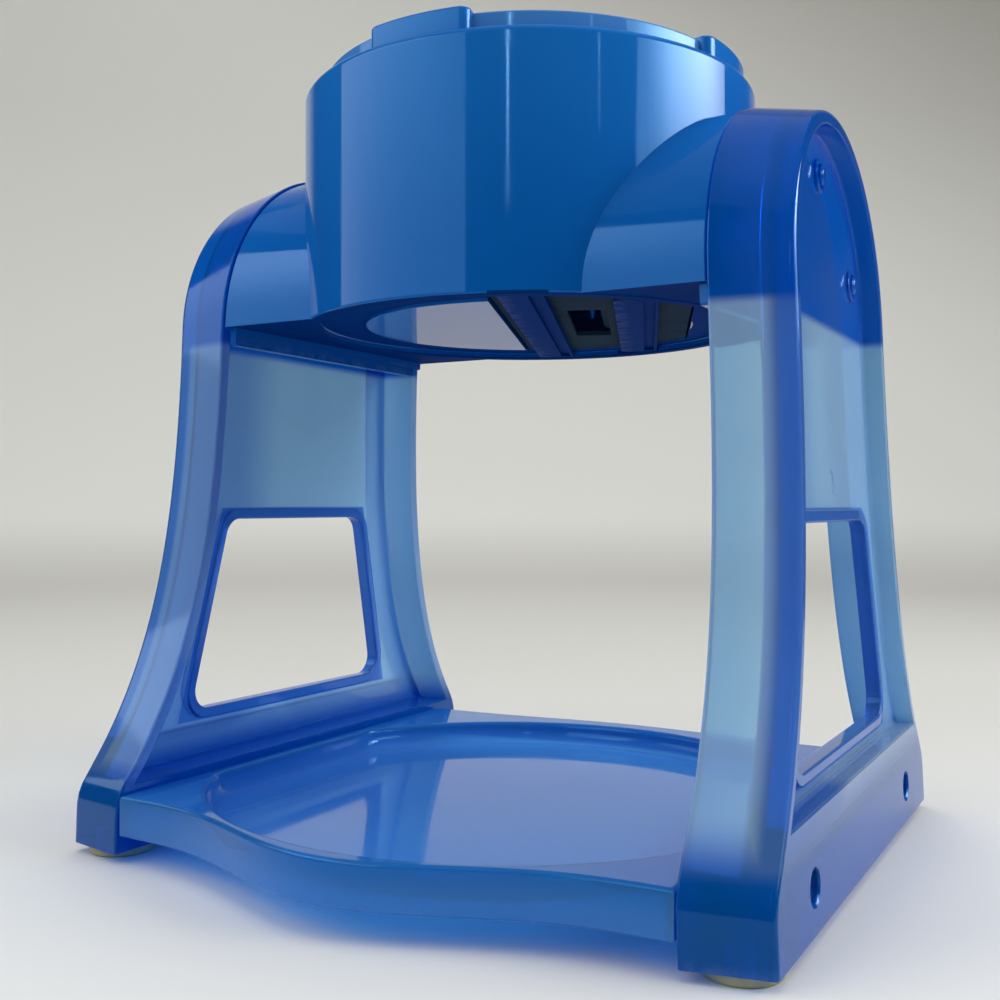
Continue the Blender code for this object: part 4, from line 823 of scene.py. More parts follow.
def screw(name, kind, seat, direction, finish, body):
    """A slotted screw whose head sits at a place and faces a direction."""
    head_radius, head_height, shank_radius, shank_length = kind
    profile = softened([(0, -shank_length, 0), (shank_radius * 0.4, -shank_length, 0),
                        (shank_radius, -shank_length + 0.7 * shank_radius, 0), (shank_radius, 0, 0),
                        (head_radius, 0, 0.25 * MM), (head_radius, head_height * 0.6, 0.3 * MM),
                        (head_radius * 0.72, head_height, SMALL_EDGE), (0, head_height, 0)])
    reach = head_radius * 1.3
    slot_tool = plain_prism(rectangle(-reach, reach, -SCREW_SLOT / 2, SCREW_SLOT / 2),
                            head_height * 0.65, head_height * 1.6)
    mesh = worked(turned(profile, 48), [cut(slot_tool)])
    turn = Vector((0, 0, 1)).rotation_difference(Vector(direction)).to_matrix().to_4x4()
    mesh.transform(Matrix.Translation(seat) @ turn)
    return place(name, mesh, finish, body)


def frame_screws(side, label, pin_finish, metal):
    """The screws of one frame: plastic ones in the arch, steel ones in the foot block."""
    for where, (y, z) in arch_screw_places().items():
        seat = splay_x(WEB_INNER + WEB_THICKNESS, z) + FIT + SPLAY * ARCH_SCREW_HEAD_RADIUS
        screw(f"arch_screw_{label}_{where}", ARCH_SCREW, (side * seat, y, z), (side, 0, 0),
              pin_finish, "stand")
    for word, end in ENDS.items():
        seat = splay_x(FRAME_OUTER, BASE_SCREW_HEIGHT) - BASE_SCREW_RECESS_DEPTH + FIT
        spot = (side * seat, end * BASE_SCREW_HALF_SPACING, BASE_SCREW_HEIGHT)
        screw(f"base_screw_{label}_{word}", BASE_SCREW, spot, (side, 0, 0), metal, "stand")


def tray_half_width(z):
    return splay_x(FRAME_INNER, z) - FIT


def tray_outline(inset):
    """The tray's plan, bowed at the front and the back, set in by a distance."""
    half = tray_half_width(TRAY_TOP) - inset
    span = tray_half_width(TRAY_TOP)
    points = []
    for reach, bow, way in ((-TRAY_FRONT_REACH, -TRAY_FRONT_BOW, 1), (TRAY_BACK_REACH, TRAY_BACK_BOW, -1)):
        for index in range(TRAY_STEPS + 1):
            x = way * half * (2 * index / TRAY_STEPS - 1)
            y = reach + bow * (0.5 + 0.5 * math.cos(math.pi * x / span)) ** TRAY_BOW_POWER
            points.append((x, y - math.copysign(inset, reach)))
    return points


def dish_loop(inward, grow, z):
    """One level of the dish: a circle cut off at the sides, stepped inward and grown by distances."""
    radius = DISH_RADIUS - inward * DISH_SLOPE + grow
    half = tray_half_width(TRAY_TOP) - DISH_SIDE_MARGIN - inward * DISH_SIDE_SLOPE + grow
    loop = []
    for index in range(DRUM_STEPS):
        angle = math.tau * (index + 0.5) / DRUM_STEPS
        reach = min(radius, half / abs(math.cos(angle)))
        loop.append((reach * math.cos(angle), reach * math.sin(angle) - DISH_FORWARD, z))
    return loop


def dish(grow, edge):
    """A tool for the dish: a rounded rim, a steep side and a wide fillet into the flat floor."""
    depth = DISH_DEPTH - edge + grow
    angles = [math.pi / 2 * index / 8 for index in range(9)]
    loops = [dish_loop(1 - math.sin(angle), grow, TRAY_TOP - edge - depth * math.cos(angle))
             for angle in angles]
    loops += [dish_loop(0, grow + edge * along, TRAY_TOP - edge * across) for along, across in arc()[1:]]
    loops.append(dish_loop(0, grow + edge, TRAY_TOP + BEYOND))
    return skin(loops)


def base_tray(sizes, finish):
    """The shallow tray: skirt walls, a deck with a rounded edge and a wide dish for the bowl."""
    edge = sizes.tray_edge_round
    levels = [(TRAY_BOTTOM, TRAY_FOOT_EDGE), (TRAY_BOTTOM + TRAY_FOOT_EDGE, 0)]
    levels += [(TRAY_TOP - edge * across, edge * along) for along, across in arc(6)]
    blank = prism_z(tray_outline, levels)
    under = prism_z(tray_outline, [(-MM, TRAY_WALL), (TRAY_TOP - TRAY_SKIN, TRAY_WALL)])
    hollow = worked(under, [cut(dish(TRAY_SKIN, 0.5 * MM))])
    steps = [cut(hollow), cut(dish(0, sizes.dish_edge_round))]
    outer = tray_half_width(TRAY_TOP)
    inner = outer - TRAY_BOSS_LENGTH
    spots = base_screw_places()
    for side in SIDES.values():
        steps += rods_x(side, TRAY_BOSS_RADIUS, inner, outer - MM, spots, join)
        steps += rods_x(side, BASE_SCREW_SHANK_RADIUS + FIT, inner + TRAY_BORE_END, outer + BEYOND,
                        spots, cut)
    return place("base_tray", worked(blank, steps), finish, "stand")


def half_round(radius, bottom, steps=64):
    """An arch outline of (y, z) points, closed by a straight line at the bottom."""
    start = math.asin(max(-1, min(1, (bottom - ARCH_HEIGHT) / radius)))
    sweep = math.pi - 2 * start
    return [(radius * math.cos(start + sweep * index / steps),
             ARCH_HEIGHT + radius * math.sin(start + sweep * index / steps)) for index in range(steps + 1)]


def cheek_steps(side):
    """The half round arm on one side: flush with the frame, then stepped in to nest in its flange."""
    flush = ARCH_RADIUS - CHEEK_STEP_IN
    nested = ARCH_RADIUS - FRAME_WALL - 2 * FIT
    start = math.sqrt(DRUM_RADIUS ** 2 - ARCH_RADIUS ** 2) - CHEEK_ROOT
    step = FRAME_INNER - FRAME_WALL
    bottom = DRUM_BOTTOM + CHEEK_LIFT

    def arm(radius, floor, near, far, edge=0):
        loops = [[(side * near, y, z) for y, z in half_round(radius, floor)]]
        for along, across in arc() if edge else [(0, 0)]:
            loops.append([(side * splay_x(far - edge * across, z), y, z)
                          for y, z in half_round(radius - edge * along, floor + edge * along)])
        return skin(loops)

    steps = [join(arm(flush, bottom, start, FRAME_INNER - FIT, CHEEK_EDGE)),
             join(arm(nested, bottom + CHEEK_LIFT, step, WEB_INNER - FIT, CHEEK_EDGE))]
    rail_end = FRAME_INNER - 2 * FIT
    short = RAIL_HALF_LENGTH - RAIL_STEP
    low = bottom - RAIL_DEPTH
    middle = bottom - RAIL_DEPTH / 2
    rail_outline = softened([(-RAIL_HALF_LENGTH, low, RAIL_EDGE), (short, low, RAIL_EDGE),
                             (short, middle, EDGE), (RAIL_HALF_LENGTH, middle, RAIL_EDGE),
                             (RAIL_HALF_LENGTH, bottom + MM, 0), (-RAIL_HALF_LENGTH, bottom + MM, 0)])
    rail = skin([[(side * splay_x(x, z), y, z) for y, z in rail_outline]
                 for x in (rail_end - RAIL_WIDTH, rail_end)])
    steps.append(join(rail))
    floor = bottom + CHEEK_PLATE
    hollow = worked(arm(nested - CHEEK_WALL, floor + CHEEK_LIFT, start, WEB_INNER + BEYOND),
                    [join(arm(flush - CHEEK_WALL, floor, start, step - CHEEK_WALL)),
                     cut(turned(disc(DRUM_RADIUS, DRUM_BOTTOM - BEYOND, DRUM_SHOULDER + BEYOND)))])
    steps.append(cut(hollow))
    for y, z in arch_screw_places().values():
        end = splay_x(WEB_INNER, z + BOSS_RADIUS) - 2 * FIT
        root = math.sqrt(DRUM_RADIUS ** 2 - (abs(y) + BOSS_RADIUS) ** 2) - MM
        steps += rods_x(side, BOSS_RADIUS, root, end, [(y, z)], join)
        steps += rods_x(side, ARCH_SCREW_SHANK_RADIUS + FIT, end - ARCH_SCREW_SHANK_LENGTH, end + BEYOND,
                        [(y, z)], cut)
    return steps


def lock_angles():
    return [360 * index / LOCK_COUNT for index in range(LOCK_COUNT)]


def lock_steps():
    """The thick segments on the collar, and the grooves that the lid's lugs turn in."""
    collar_inner = COLLAR_RADIUS - COLLAR_WALL
    inside = collar_inner - 2 * MM
    groove = collar_inner + LUG_REACH + 2 * FIT
    reach = LUG_HALF_ANGLE + LOCK_SPARE_ANGLE
    steps = []
    for angle in lock_angles():
        steps += [
            join(soft_sector(collar_inner + FIT, LOCK_RADIUS, DRUM_SHOULDER - MM, LOCK_TOP, angle,
                             LOCK_HALF_ANGLE, LOCK_EDGE)),
            cut(sector(inside, groove, LUG_BOTTOM - FIT, LUG_BOTTOM + LUG_THICKNESS + FIT, angle,
                       -reach, LOCK_TURN + reach)),
            cut(sector(inside, groove, LUG_BOTTOM, LOCK_TOP + 5 * MM, angle,
                       LOCK_TURN - reach, LOCK_TURN + reach)),
        ]
    return steps


def outlet_point(across, along):
    """A plan point given across and along the ice outlet, which is turned about the axis."""
    turn = math.radians(OUTLET_ANGLE)
    return (across * math.cos(turn) - along * math.sin(turn),
            across * math.sin(turn) + along * math.cos(turn))


def blade_screw_places():
    return {word: outlet_point(BLADE_SCREW_ACROSS, end * BLADE_SCREW_HALF_SPACING)
            for word, end in ENDS.items()}


def blade_screw_bores(low, high):
    """Cuts for the blade's two screws."""
    return [bore_z(BLADE_SCREW_SHANK_RADIUS + FIT, low, high, spot, SMALL_STEPS)
            for spot in blade_screw_places().values()]


def strip(left, right, near, far, bottom, top):
    """A straight block along the outlet's direction."""
    return plain_prism([outlet_point(*corner) for corner in rectangle(left, right, near, far)], bottom, top)


def outlet_steps():
    """The outlet in the floor, and the two grooved bars that cross it."""
    floor_top = FLOOR_UNDERSIDE + FLOOR_THICKNESS
    opening = worked(strip(OUTLET_LEFT, OUTLET_RIGHT, -OUTLET_RADIUS, OUTLET_RADIUS,
                           FLOOR_UNDERSIDE - 5 * MM, floor_top + MM),
                     [("INTERSECT", turned(disc(OUTLET_RADIUS, FLOOR_UNDERSIDE - BEYOND,
                                                floor_top + BEYOND)))])
    steps = [cut(opening)]
    bar_end = DRUM_RADIUS - LIP_WIDTH + MM
    groove_top = BAR_BOTTOM + BAR_GROOVE_DEPTH
    for left in BAR_LEFT_EDGES:
        reach = math.sqrt(bar_end ** 2 - max(abs(left), abs(left + BAR_WIDTH)) ** 2)
        steps.append(join(strip(left, left + BAR_WIDTH, -reach, reach, BAR_BOTTOM,
                                FLOOR_UNDERSIDE + 0.05 * MM)))
        groove = left + BAR_GROOVE_LEFT
        end = reach - BAR_GROOVE_FROM_END
        steps.append(cut(strip(groove, groove + BAR_GROOVE_WIDTH, -end, end, BAR_BOTTOM - MM, groove_top)))
    return steps + blade_screw_bores(BAR_BOTTOM + BLADE_SCREW_BORE_FLOOR, FLOOR_UNDERSIDE + MM)


def drum_housing(sizes, finish):
    """The drum with its cheeks, rails, collar, lock hoods, floor and outlet, moulded in one."""
    inner = DRUM_RADIUS - DRUM_WALL
    floor_top = FLOOR_UNDERSIDE + FLOOR_THICKNESS
    collar_inner = COLLAR_RADIUS - COLLAR_WALL
    ledge_inner = collar_inner - LEDGE_WIDTH
    ledge_bottom = LEDGE_HEIGHT - LEDGE_THICKNESS
    blank = turned(softened([
        (0, DRUM_BOTTOM, 0), (DRUM_RADIUS, DRUM_BOTTOM, sizes.drum_edge_round),
        (DRUM_RADIUS, DRUM_SHOULDER, SHOULDER_ROUND), (COLLAR_RADIUS, DRUM_SHOULDER, EDGE),
        (COLLAR_RADIUS, COLLAR_TOP, EDGE), (0, COLLAR_TOP, 0)]))
    flare = COLLAR_FLARE
    cavity = turned(softened([
        (0, floor_top, 0), (inner, floor_top, DRUM_FLOOR_FILLET), (inner, ledge_bottom - LEDGE_GUSSET, 0),
        (ledge_inner, ledge_bottom, 0), (ledge_inner, LEDGE_HEIGHT, 0), (collar_inner, LEDGE_HEIGHT, 0),
        (collar_inner, COLLAR_TOP - flare, 0), (collar_inner + flare, COLLAR_TOP, 0),
        (collar_inner + flare, COLLAR_TOP + BEYOND, 0), (0, COLLAR_TOP + BEYOND, 0)]))
    lip_inner = DRUM_RADIUS - LIP_WIDTH
    step_height = FLOOR_UNDERSIDE - FLOOR_STEP
    underside = turned(softened([
        (0, DRUM_BOTTOM - BEYOND, 0), (lip_inner + EDGE, DRUM_BOTTOM - BEYOND, 0),
        (lip_inner + EDGE, DRUM_BOTTOM, 0), (lip_inner, DRUM_BOTTOM + EDGE, 0),
        (lip_inner, FLOOR_UNDERSIDE, 0.7 * MM), (FLOOR_STEP_RADIUS, FLOOR_UNDERSIDE, 0.3 * MM),
        (FLOOR_STEP_RADIUS, step_height, SMALL_EDGE), (0, step_height, 0)]))
    steps = cheek_steps(-1) + cheek_steps(1) + [cut(cavity), cut(underside)]
    steps += lock_steps() + outlet_steps()
    drum = place("drum_housing", worked(blank, steps), finish, "stand")
    shade_underside(drum.data)
    return drum


def shade_underside(mesh):
    """Give the bars, the ring of the floor outside its step and the lip a darker, rough blue with almost no
    reflection: painted shade under the drum.
    """
    mesh.materials.append(underside_shade_plastic())
    turn = math.radians(OUTLET_ANGLE)
    for face in mesh.polygons:
        spot = face.center - Vector((0, AXIS_BACK, 0))
        radius = math.hypot(spot.x, spot.y)
        across = spot.x * math.cos(turn) + spot.y * math.sin(turn)
        below_floor = radius < DRUM_RADIUS and spot.z < FLOOR_UNDERSIDE + 0.1 * MM
        on_ring = radius > FLOOR_STEP_RADIUS and face.normal.z < -0.7
        on_bar = (spot.z < FLOOR_UNDERSIDE - 0.5 * MM
                  and any(left - MM < across < left + BAR_WIDTH + MM for left in BAR_LEFT_EDGES))
        if below_floor and (on_ring or on_bar):
            face.material_index = 1


def plate_outline(gap):
    """The cutter plate's plan: the outlet's band inside the outlet's circle, less a gap."""
    left = OUTLET_LEFT + gap
    right = OUTLET_RIGHT - gap
    radius = OUTLET_RADIUS - gap
    points = []
    for first, second, way in ((left, right, -1), (right, left, 1)):
        for index in range(41):
            across = first + (second - first) * index / 40
            points.append(outlet_point(across, way * math.sqrt(radius ** 2 - across ** 2)))
    return points


def cutter_plate(finish):
    """The steel plate that fills the outlet, with the slot that the shavings fall through."""
    bottom = FLOOR_UNDERSIDE + FIT
    top = bottom + PLATE_THICKNESS
    edge = PLATE_EDGE
    blank = prism_z(lambda inset: plate_outline(2 * FIT + inset),
                    [(bottom, edge), (bottom + edge, 0), (top - edge, 0), (top, edge)])
    sides = rectangle(SLOT_LEFT, SLOT_LEFT + SLOT_WIDTH, -SLOT_HALF_LENGTH, SLOT_HALF_LENGTH)
    corners = softened([(x, y, SLOT_CORNER) for x, y in sides])
    slot = plain_prism([outlet_point(x, y) for x, y in corners], bottom - MM, top + MM)
    steps = [cut(slot), bore_z(PIVOT_RADIUS + FIT, bottom - MM, top + MM)]
    steps += blade_screw_bores(bottom - MM, top + MM)
    return place("cutter_plate", worked(blank, steps), finish, "stand")


def shaving_blade(finish):
    """The blade: a strip with one ground edge that overhangs the slot."""
    low = BLADE_BOTTOM
    high = low + BLADE_THICKNESS
    left = BLADE_LEFT
    right = left + BLADE_WIDTH
    section = [(left, high - BLADE_EDGE), (left + BLADE_GRIND, low), (right, low), (right, high),
               (left, high)]
    loops = [[(*outlet_point(across, along), z) for across, z in section]
             for along in (-BLADE_HALF_LENGTH, BLADE_HALF_LENGTH)]
    blade = worked(skin(loops), blade_screw_bores(low - MM, high + MM))
    return place("shaving_blade", blade, finish, "stand")


def lid_rib(floor):
    """One rib from the lid's boss outwards, with softened top edges."""
    far = LID_RADIUS - LID_RIB_FROM_EDGE
    half = LID_RIB_WIDTH / 2
    top = floor + LID_RIB_HEIGHT
    return prism_z(lambda inset: rectangle(LID_BOSS_RADIUS - MM, far - inset, inset - half, half - inset),
                   [(floor - MM, 0), (top - LID_RIB_EDGE, 0), (top - 0.3 * LID_RIB_EDGE, 0.3 * LID_RIB_EDGE),
                    (top, LID_RIB_EDGE)])


def lid(finish):
    """The dished lid, with lugs for the lock, ribs and a boss for the shaft."""
    seat = LEDGE_HEIGHT + FIT
    top = LID_RIM_TOP
    floor = seat + LID_THICKNESS
    bore = SHAFT_RADIUS + 2 * FIT + BUSH_WALL
    blank = turned(softened([
        (bore, seat, 0), (LID_RADIUS, seat, 0.5 * MM), (LID_RADIUS, top, EDGE),
        (LID_RADIUS - LID_RIM_WIDTH, top, EDGE),
        (LID_RADIUS - LID_RIM_WIDTH - LID_RIM_SLOPE, floor, 1.2 * MM),
        (LID_BOSS_RADIUS + MM, floor, 1.2 * MM), (LID_BOSS_RADIUS, floor + 3 * MM, 0),
        (LID_BOSS_RADIUS, LID_BOSS_TOP, EDGE), (bore, LID_BOSS_TOP, 0)]))
    steps = [join(soft_sector(LID_RADIUS - MM, COLLAR_RADIUS - COLLAR_WALL + LUG_REACH, LUG_BOTTOM,
                              LUG_BOTTOM + LUG_THICKNESS, angle, LUG_HALF_ANGLE, SMALL_EDGE))
             for angle in lock_angles()]
    steps += [join(turn_z(lid_rib(floor), 360 * (index + 0.5) / LID_RIB_COUNT))
              for index in range(LID_RIB_COUNT)]
    return place("lid", worked(blank, steps), finish, "lid")


def shaft_bush(finish):
    """The nylon bush in the lid's boss."""
    inner = SHAFT_RADIUS + FIT
    outer = inner + BUSH_WALL
    flange = LID_BOSS_TOP + FIT
    profile = softened([(inner, LEDGE_HEIGHT + FIT, 0), (outer, LEDGE_HEIGHT + FIT, 0), (outer, flange, 0),
                        (BUSH_FLANGE_RADIUS, flange, FINE_EDGE),
                        (BUSH_FLANGE_RADIUS, flange + BUSH_FLANGE, SMALL_EDGE),
                        (inner, flange + BUSH_FLANGE, FINE_EDGE)])
    return place("shaft_bush", turned(profile, ROUND_STEPS), finish, "lid")


def flat_tool(low, high, half_turn):
    flat = plain_prism(rectangle(CRANK_SHAFT_FLAT, BEYOND, -BEYOND, BEYOND), low, high)
    return turn_z(flat, CRANK_ANGLE + half_turn)


def drive_shaft(finish):
    """The shaft from the pivot in the floor to the crank, with flats where it drives."""
    stop_bottom = SHAFT_STOP_TOP - SHAFT_STOP_THICKNESS
    round_top = HUB_BOTTOM - FIT
    end = round_top + CRANK_HUB_HEIGHT - MM
    blank = turned(softened([
        (0, SHAFT_BOTTOM, 0), (PIVOT_RADIUS, SHAFT_BOTTOM, SMALL_EDGE), (PIVOT_RADIUS, stop_bottom, 0),
        (SHAFT_STOP_RADIUS, stop_bottom, 0.3 * MM), (SHAFT_STOP_RADIUS, SHAFT_STOP_TOP, 0.3 * MM),
        (SHAFT_RADIUS, SHAFT_STOP_TOP, 0), (SHAFT_RADIUS, end, 0.5 * MM), (0, end, 0)]), ROUND_STEPS)
    steps = []
    for half_turn in (0, 180):
        steps += [cut(flat_tool(round_top, round_top + CRANK_HUB_HEIGHT + BEYOND, half_turn)),
                  cut(flat_tool(SHAFT_STOP_TOP + MM, CLIP_BOTTOM - 3 * MM, half_turn))]
    shaft_end = round_top + CRANK_HUB_HEIGHT
    steps.append(bore_z(CAP_SCREW_SHANK_RADIUS + FIT, shaft_end - CAP_SCREW_LENGTH, shaft_end + BEYOND,
                        steps=SMALL_STEPS))
    return place("drive_shaft", worked(blank, steps), finish, "crank")


def crank_washer(finish):
    profile = ring(SHAFT_RADIUS + FIT, WASHER_RADIUS, WASHER_BOTTOM, WASHER_BOTTOM + WASHER_THICKNESS,
                   FINE_EDGE)
    return place("crank_washer", turned(profile, ROUND_STEPS), finish, "crank")


def shaft_clip(finish):
    """The open clip under the lid, which the spring's upper end bears on."""
    top = CLIP_BOTTOM + CLIP_THICKNESS
    blank = turned(ring(SHAFT_RADIUS + FIT, CLIP_RADIUS, CLIP_BOTTOM, top, FINE_EDGE), ROUND_STEPS)
    gap = plain_prism(rectangle(0, CLIP_RADIUS + MM, -CLIP_GAP / 2, CLIP_GAP / 2), CLIP_BOTTOM - MM, top + MM)
    return place("shaft_clip", worked(blank, [cut(gap)]), finish, "crank")


def arm_outline(inset):
    """The crank arm's plan, set in by a distance."""
    outline = []
    for middle, radius, centre in ((180, 0.95 * CRANK_EYE_RADIUS, 0), (0, CRANK_EYE_RADIUS, CRANK_LENGTH)):
        for index in range(33):
            x, y = on_circle(radius - inset, middle + CRANK_END_ANGLE * (index / 16 - 1))
            outline.append((centre + x, y))
    return outline


def socket_outline():
    """The hub's hole: a circle with two flats, for the shaft's end."""
    radius = SHAFT_RADIUS + FIT
    sweep = 180 - 2 * math.degrees(math.acos((CRANK_SHAFT_FLAT + FIT) / radius))
    return [on_circle(radius, middle + sweep * (index / 16 - 0.5))
            for middle in (90, 270) for index in range(17)]


def crank_arm(finish):
    """The crank: hub on the shaft, tapering arm with softened edges and the eye for the knob's pin."""
    low = HUB_BOTTOM
    top = low + CRANK_HUB_HEIGHT
    under = top - CRANK_ARM_THICKNESS
    soft = CRANK_EDGE
    levels = [(under + soft * along, soft * across) for along, across in arc()]
    levels += [(top - soft * along, soft * across) for along, across in reversed(arc())]
    blank = prism_z(arm_outline, levels)
    steps = [join(turned(disc(CRANK_HUB_RADIUS, low, top, EDGE), ROUND_STEPS)),
             cut(plain_prism(socket_outline(), low - MM, top + MM)),
             bore_z(PIN_RADIUS + FIT, low - MM, top + BEYOND, (CRANK_LENGTH, 0))]
    mesh = turn_z(worked(blank, steps), CRANK_ANGLE)
    return place("crank_arm", mesh, finish, "crank")


def knob_place():
    return on_circle(CRANK_LENGTH, CRANK_ANGLE)


def crank_knob(finish):
    """The waisted knob that spins on its pin."""
    low = CRANK_TOP + FIT
    inner = PIN_RADIUS + FIT
    foot_radius = KNOB_RADIUS - KNOB_HEM
    profile = [(inner, low), (foot_radius - MM, low), (foot_radius - 0.3 * MM, low + 0.6 * MM),
               (foot_radius, low + KNOB_FOOT)]
    grip = KNOB_HEIGHT - KNOB_FOOT - KNOB_CROWN
    for index in range(1, 25):
        share = index / 24
        waist = math.sin(math.pi * share) * (KNOB_RADIUS - KNOB_WAIST)
        swell = KNOB_SWELL * math.sin(math.pi * share / 2)
        profile.append((foot_radius - waist + swell, low + KNOB_FOOT + share * grip))
    top = low + KNOB_HEIGHT
    shoulder = foot_radius + KNOB_SWELL
    for index in range(1, 9):
        angle = math.pi / 2 * index / 8
        profile.append((shoulder - KNOB_CROWN_REACH * (1 - math.cos(angle)),
                        top - KNOB_CROWN * (1 - math.sin(angle))))
    recess = top - PIN_HEAD_HEIGHT - MM
    profile += [(PIN_HEAD_RADIUS + FIT, top), (PIN_HEAD_RADIUS + FIT, recess), (inner, recess)]
    return place("crank_knob", turned(profile, ROUND_STEPS, knob_place()), finish, "knob")


def knob_pin(finish):
    """The headed pin that holds the knob on the crank's eye, riveted over below."""
    bottom = CRANK_TOP - CRANK_ARM_THICKNESS - FIT
    head = CRANK_TOP + KNOB_HEIGHT - PIN_HEAD_HEIGHT - MM + 2 * FIT
    profile = softened([
        (0, bottom - 1.5 * MM, 0), (PIN_RADIUS + 0.6 * MM, bottom - 1.5 * MM, 0.5 * MM),
        (PIN_RADIUS + MM, bottom, 0), (PIN_RADIUS, bottom, 0), (PIN_RADIUS, head, 0),
        (PIN_HEAD_RADIUS, head, 0), (PIN_HEAD_RADIUS, head + 1.2 * MM, SMALL_EDGE),
        (PIN_HEAD_RADIUS - 1.5 * MM, head + PIN_HEAD_HEIGHT, 0.6 * MM), (0, head + PIN_HEAD_HEIGHT, 0)])
    return place("knob_pin", turned(profile, ROUND_STEPS, knob_place()), finish, "crank")


def ice_presser(finish):
    """The spiked disc that grips the ice, keyed on the shaft."""
    bore = SHAFT_RADIUS + 1.2 * FIT
    top = PRESSER_BOTTOM + PRESSER_THICKNESS
    blank = turned(softened([
        (bore, PRESSER_BOTTOM, 0), (PRESSER_RADIUS, PRESSER_BOTTOM, EDGE),
        (PRESSER_RADIUS, top, EDGE), (PRESSER_HUB_RADIUS, top, 1.5 * MM),
        (PRESSER_HUB_RADIUS, PRESSER_HUB_TOP, EDGE), (bore, PRESSER_HUB_TOP, 0)]))
    steps = []
    for half_turn in (0, 180):
        key = plain_prism(rectangle(CRANK_SHAFT_FLAT + FIT, SHAFT_RADIUS + 2 * MM,
                                    -PRESSER_KEY / 2, PRESSER_KEY / 2),
                          PRESSER_BOTTOM + MM, PRESSER_HUB_TOP - MM)
        steps.append(join(turn_z(key, CRANK_ANGLE + half_turn)))
    root = PRESSER_BOTTOM + MM
    spike = [(0, SPIKE_TIP), (0.5 * MM, SPIKE_TIP + 0.3 * MM), (SPIKE_RADIUS, PRESSER_BOTTOM),
             (SPIKE_RADIUS, root), (0, root)]
    for radius, count, offset in SPIKE_RINGS:
        steps += [join(turned(spike, 24, on_circle(radius, offset + 360 * index / count)))
                  for index in range(count)]
    return place("ice_presser", worked(blank, steps), finish, "presser")


def presser_spring(finish):
    """The coil between the presser's hub and the clip, drawn at one length; the real coil flattens as the
    presser rises.
    """
    low = PRESSER_HUB_TOP + FIT + SPRING_WIRE
    high = CLIP_BOTTOM - FIT - SPRING_WIRE
    per_turn = 40
    count = SPRING_TURNS * per_turn
    section = 12
    rise = (high - low) / (math.tau * SPRING_TURNS)
    loops = []
    for index in range(count + 1):
        angle = math.tau * index / per_turn
        outward = Vector((math.cos(angle), math.sin(angle), 0))
        centre = outward * SPRING_RADIUS + Vector((0, 0, low + rise * angle))
        along = Vector((-math.sin(angle) * SPRING_RADIUS, math.cos(angle) * SPRING_RADIUS, rise)).normalized()
        upward = along.cross(outward).normalized()
        loops.append([centre + SPRING_WIRE * (outward * math.cos(math.tau * step / section)
                                              + upward * math.sin(math.tau * step / section))
                      for step in range(section)])
    spring = place("presser_spring", skin(loops), finish, "crank")
    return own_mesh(spring)


# Kinds of shader sockets by their number of parts
SOCKET_KINDS = {1: "NodeSocketFloat", 3: "NodeSocketVector", 4: "NodeSocketColor"}


def new_group(name, inputs, outputs):
    """A shader group with inputs (name: value) and outputs (name: number of parts).

    Returns the group, its wiring and the sockets that carry its inputs.
    """
    group = bpy.data.node_groups.new(name, "ShaderNodeTree")
    for label, value in inputs.items():
        count = len(value) if isinstance(value, tuple) else 1
        socket = group.interface.new_socket(name=label, in_out="INPUT", socket_type=SOCKET_KINDS[count])
        socket.default_value = value
    for label, count in outputs.items():
        group.interface.new_socket(name=label, in_out="OUTPUT", socket_type=SOCKET_KINDS[count])
    wire = Wiring(group)
    return group, wire, wire.add("NodeGroupInput").outputs


class Wiring:
    """Adds nodes to a tree from left to right and links them by socket names or numbers."""

    def __init__(self, tree):
        self.tree = tree
        self.column = 0

    def add(self, kind, links=None, **values):
        made = self.tree.nodes.new(kind)
        made.location = (self.column, -220 * (len(self.tree.nodes) % 4))
        self.column += 180
        for key, value in values.items():
            setattr(made, key, value)
        for key, value in (links or {}).items():
            if isinstance(value, bpy.types.NodeSocket):
                self.tree.links.new(value, made.inputs[key])
            else:
                made.inputs[key].default_value = value
        return made

    def maths(self, operation, first, second=None, clamp=False):
        links = {0: first}
        if second is not None:
            links[1] = second
        return self.add("ShaderNodeMath", links, operation=operation, use_clamp=clamp).outputs[0]

    def times(self, first, second, clamp=False):
        return self.maths("MULTIPLY", first, second, clamp)

    def plus(self, first, second, clamp=False):
        return self.maths("ADD", first, second, clamp)

    def minus(self, first, second):
        return self.maths("SUBTRACT", first, second)

    def size(self, value):
        return self.maths("ABSOLUTE", value)

    def where(self):
        return self.add("ShaderNodeTexCoord").outputs["Object"]

    def parts(self, vector):
        return self.add("ShaderNodeSeparateXYZ", {0: vector}).outputs

    def normal(self, strength, distance, height):
        links = {"Strength": strength, "Distance": distance, "Height": height}
        return self.add("ShaderNodeBump", links).outputs[0]

    def vector(self, operation, first, second=None, output=0):
        links = {0: first}
        if second is not None:
            links[1] = second
        return self.add("ShaderNodeVectorMath", links, operation=operation).outputs[output]

    def between(self, value, low, high, new_low=0.0, new_high=1.0, smooth=True):
        kind = "SMOOTHSTEP" if smooth else "LINEAR"
        return self.add("ShaderNodeMapRange", {"Value": value, "From Min": low, "From Max": high,
                                               "To Min": new_low, "To Max": new_high},
                        interpolation_type=kind).outputs["Result"]

    def blend(self, share, first, second):
        made = self.add("ShaderNodeMix", {0: share, 6: first, 7: second}, data_type="RGBA")
        return made.outputs[2]

    def noise(self, vector, scale, detail=2.0, rough=0.5):
        return self.add("ShaderNodeTexNoise", {"Vector": vector, "Scale": scale, "Detail": detail,
                                               "Roughness": rough}).outputs["Fac"]


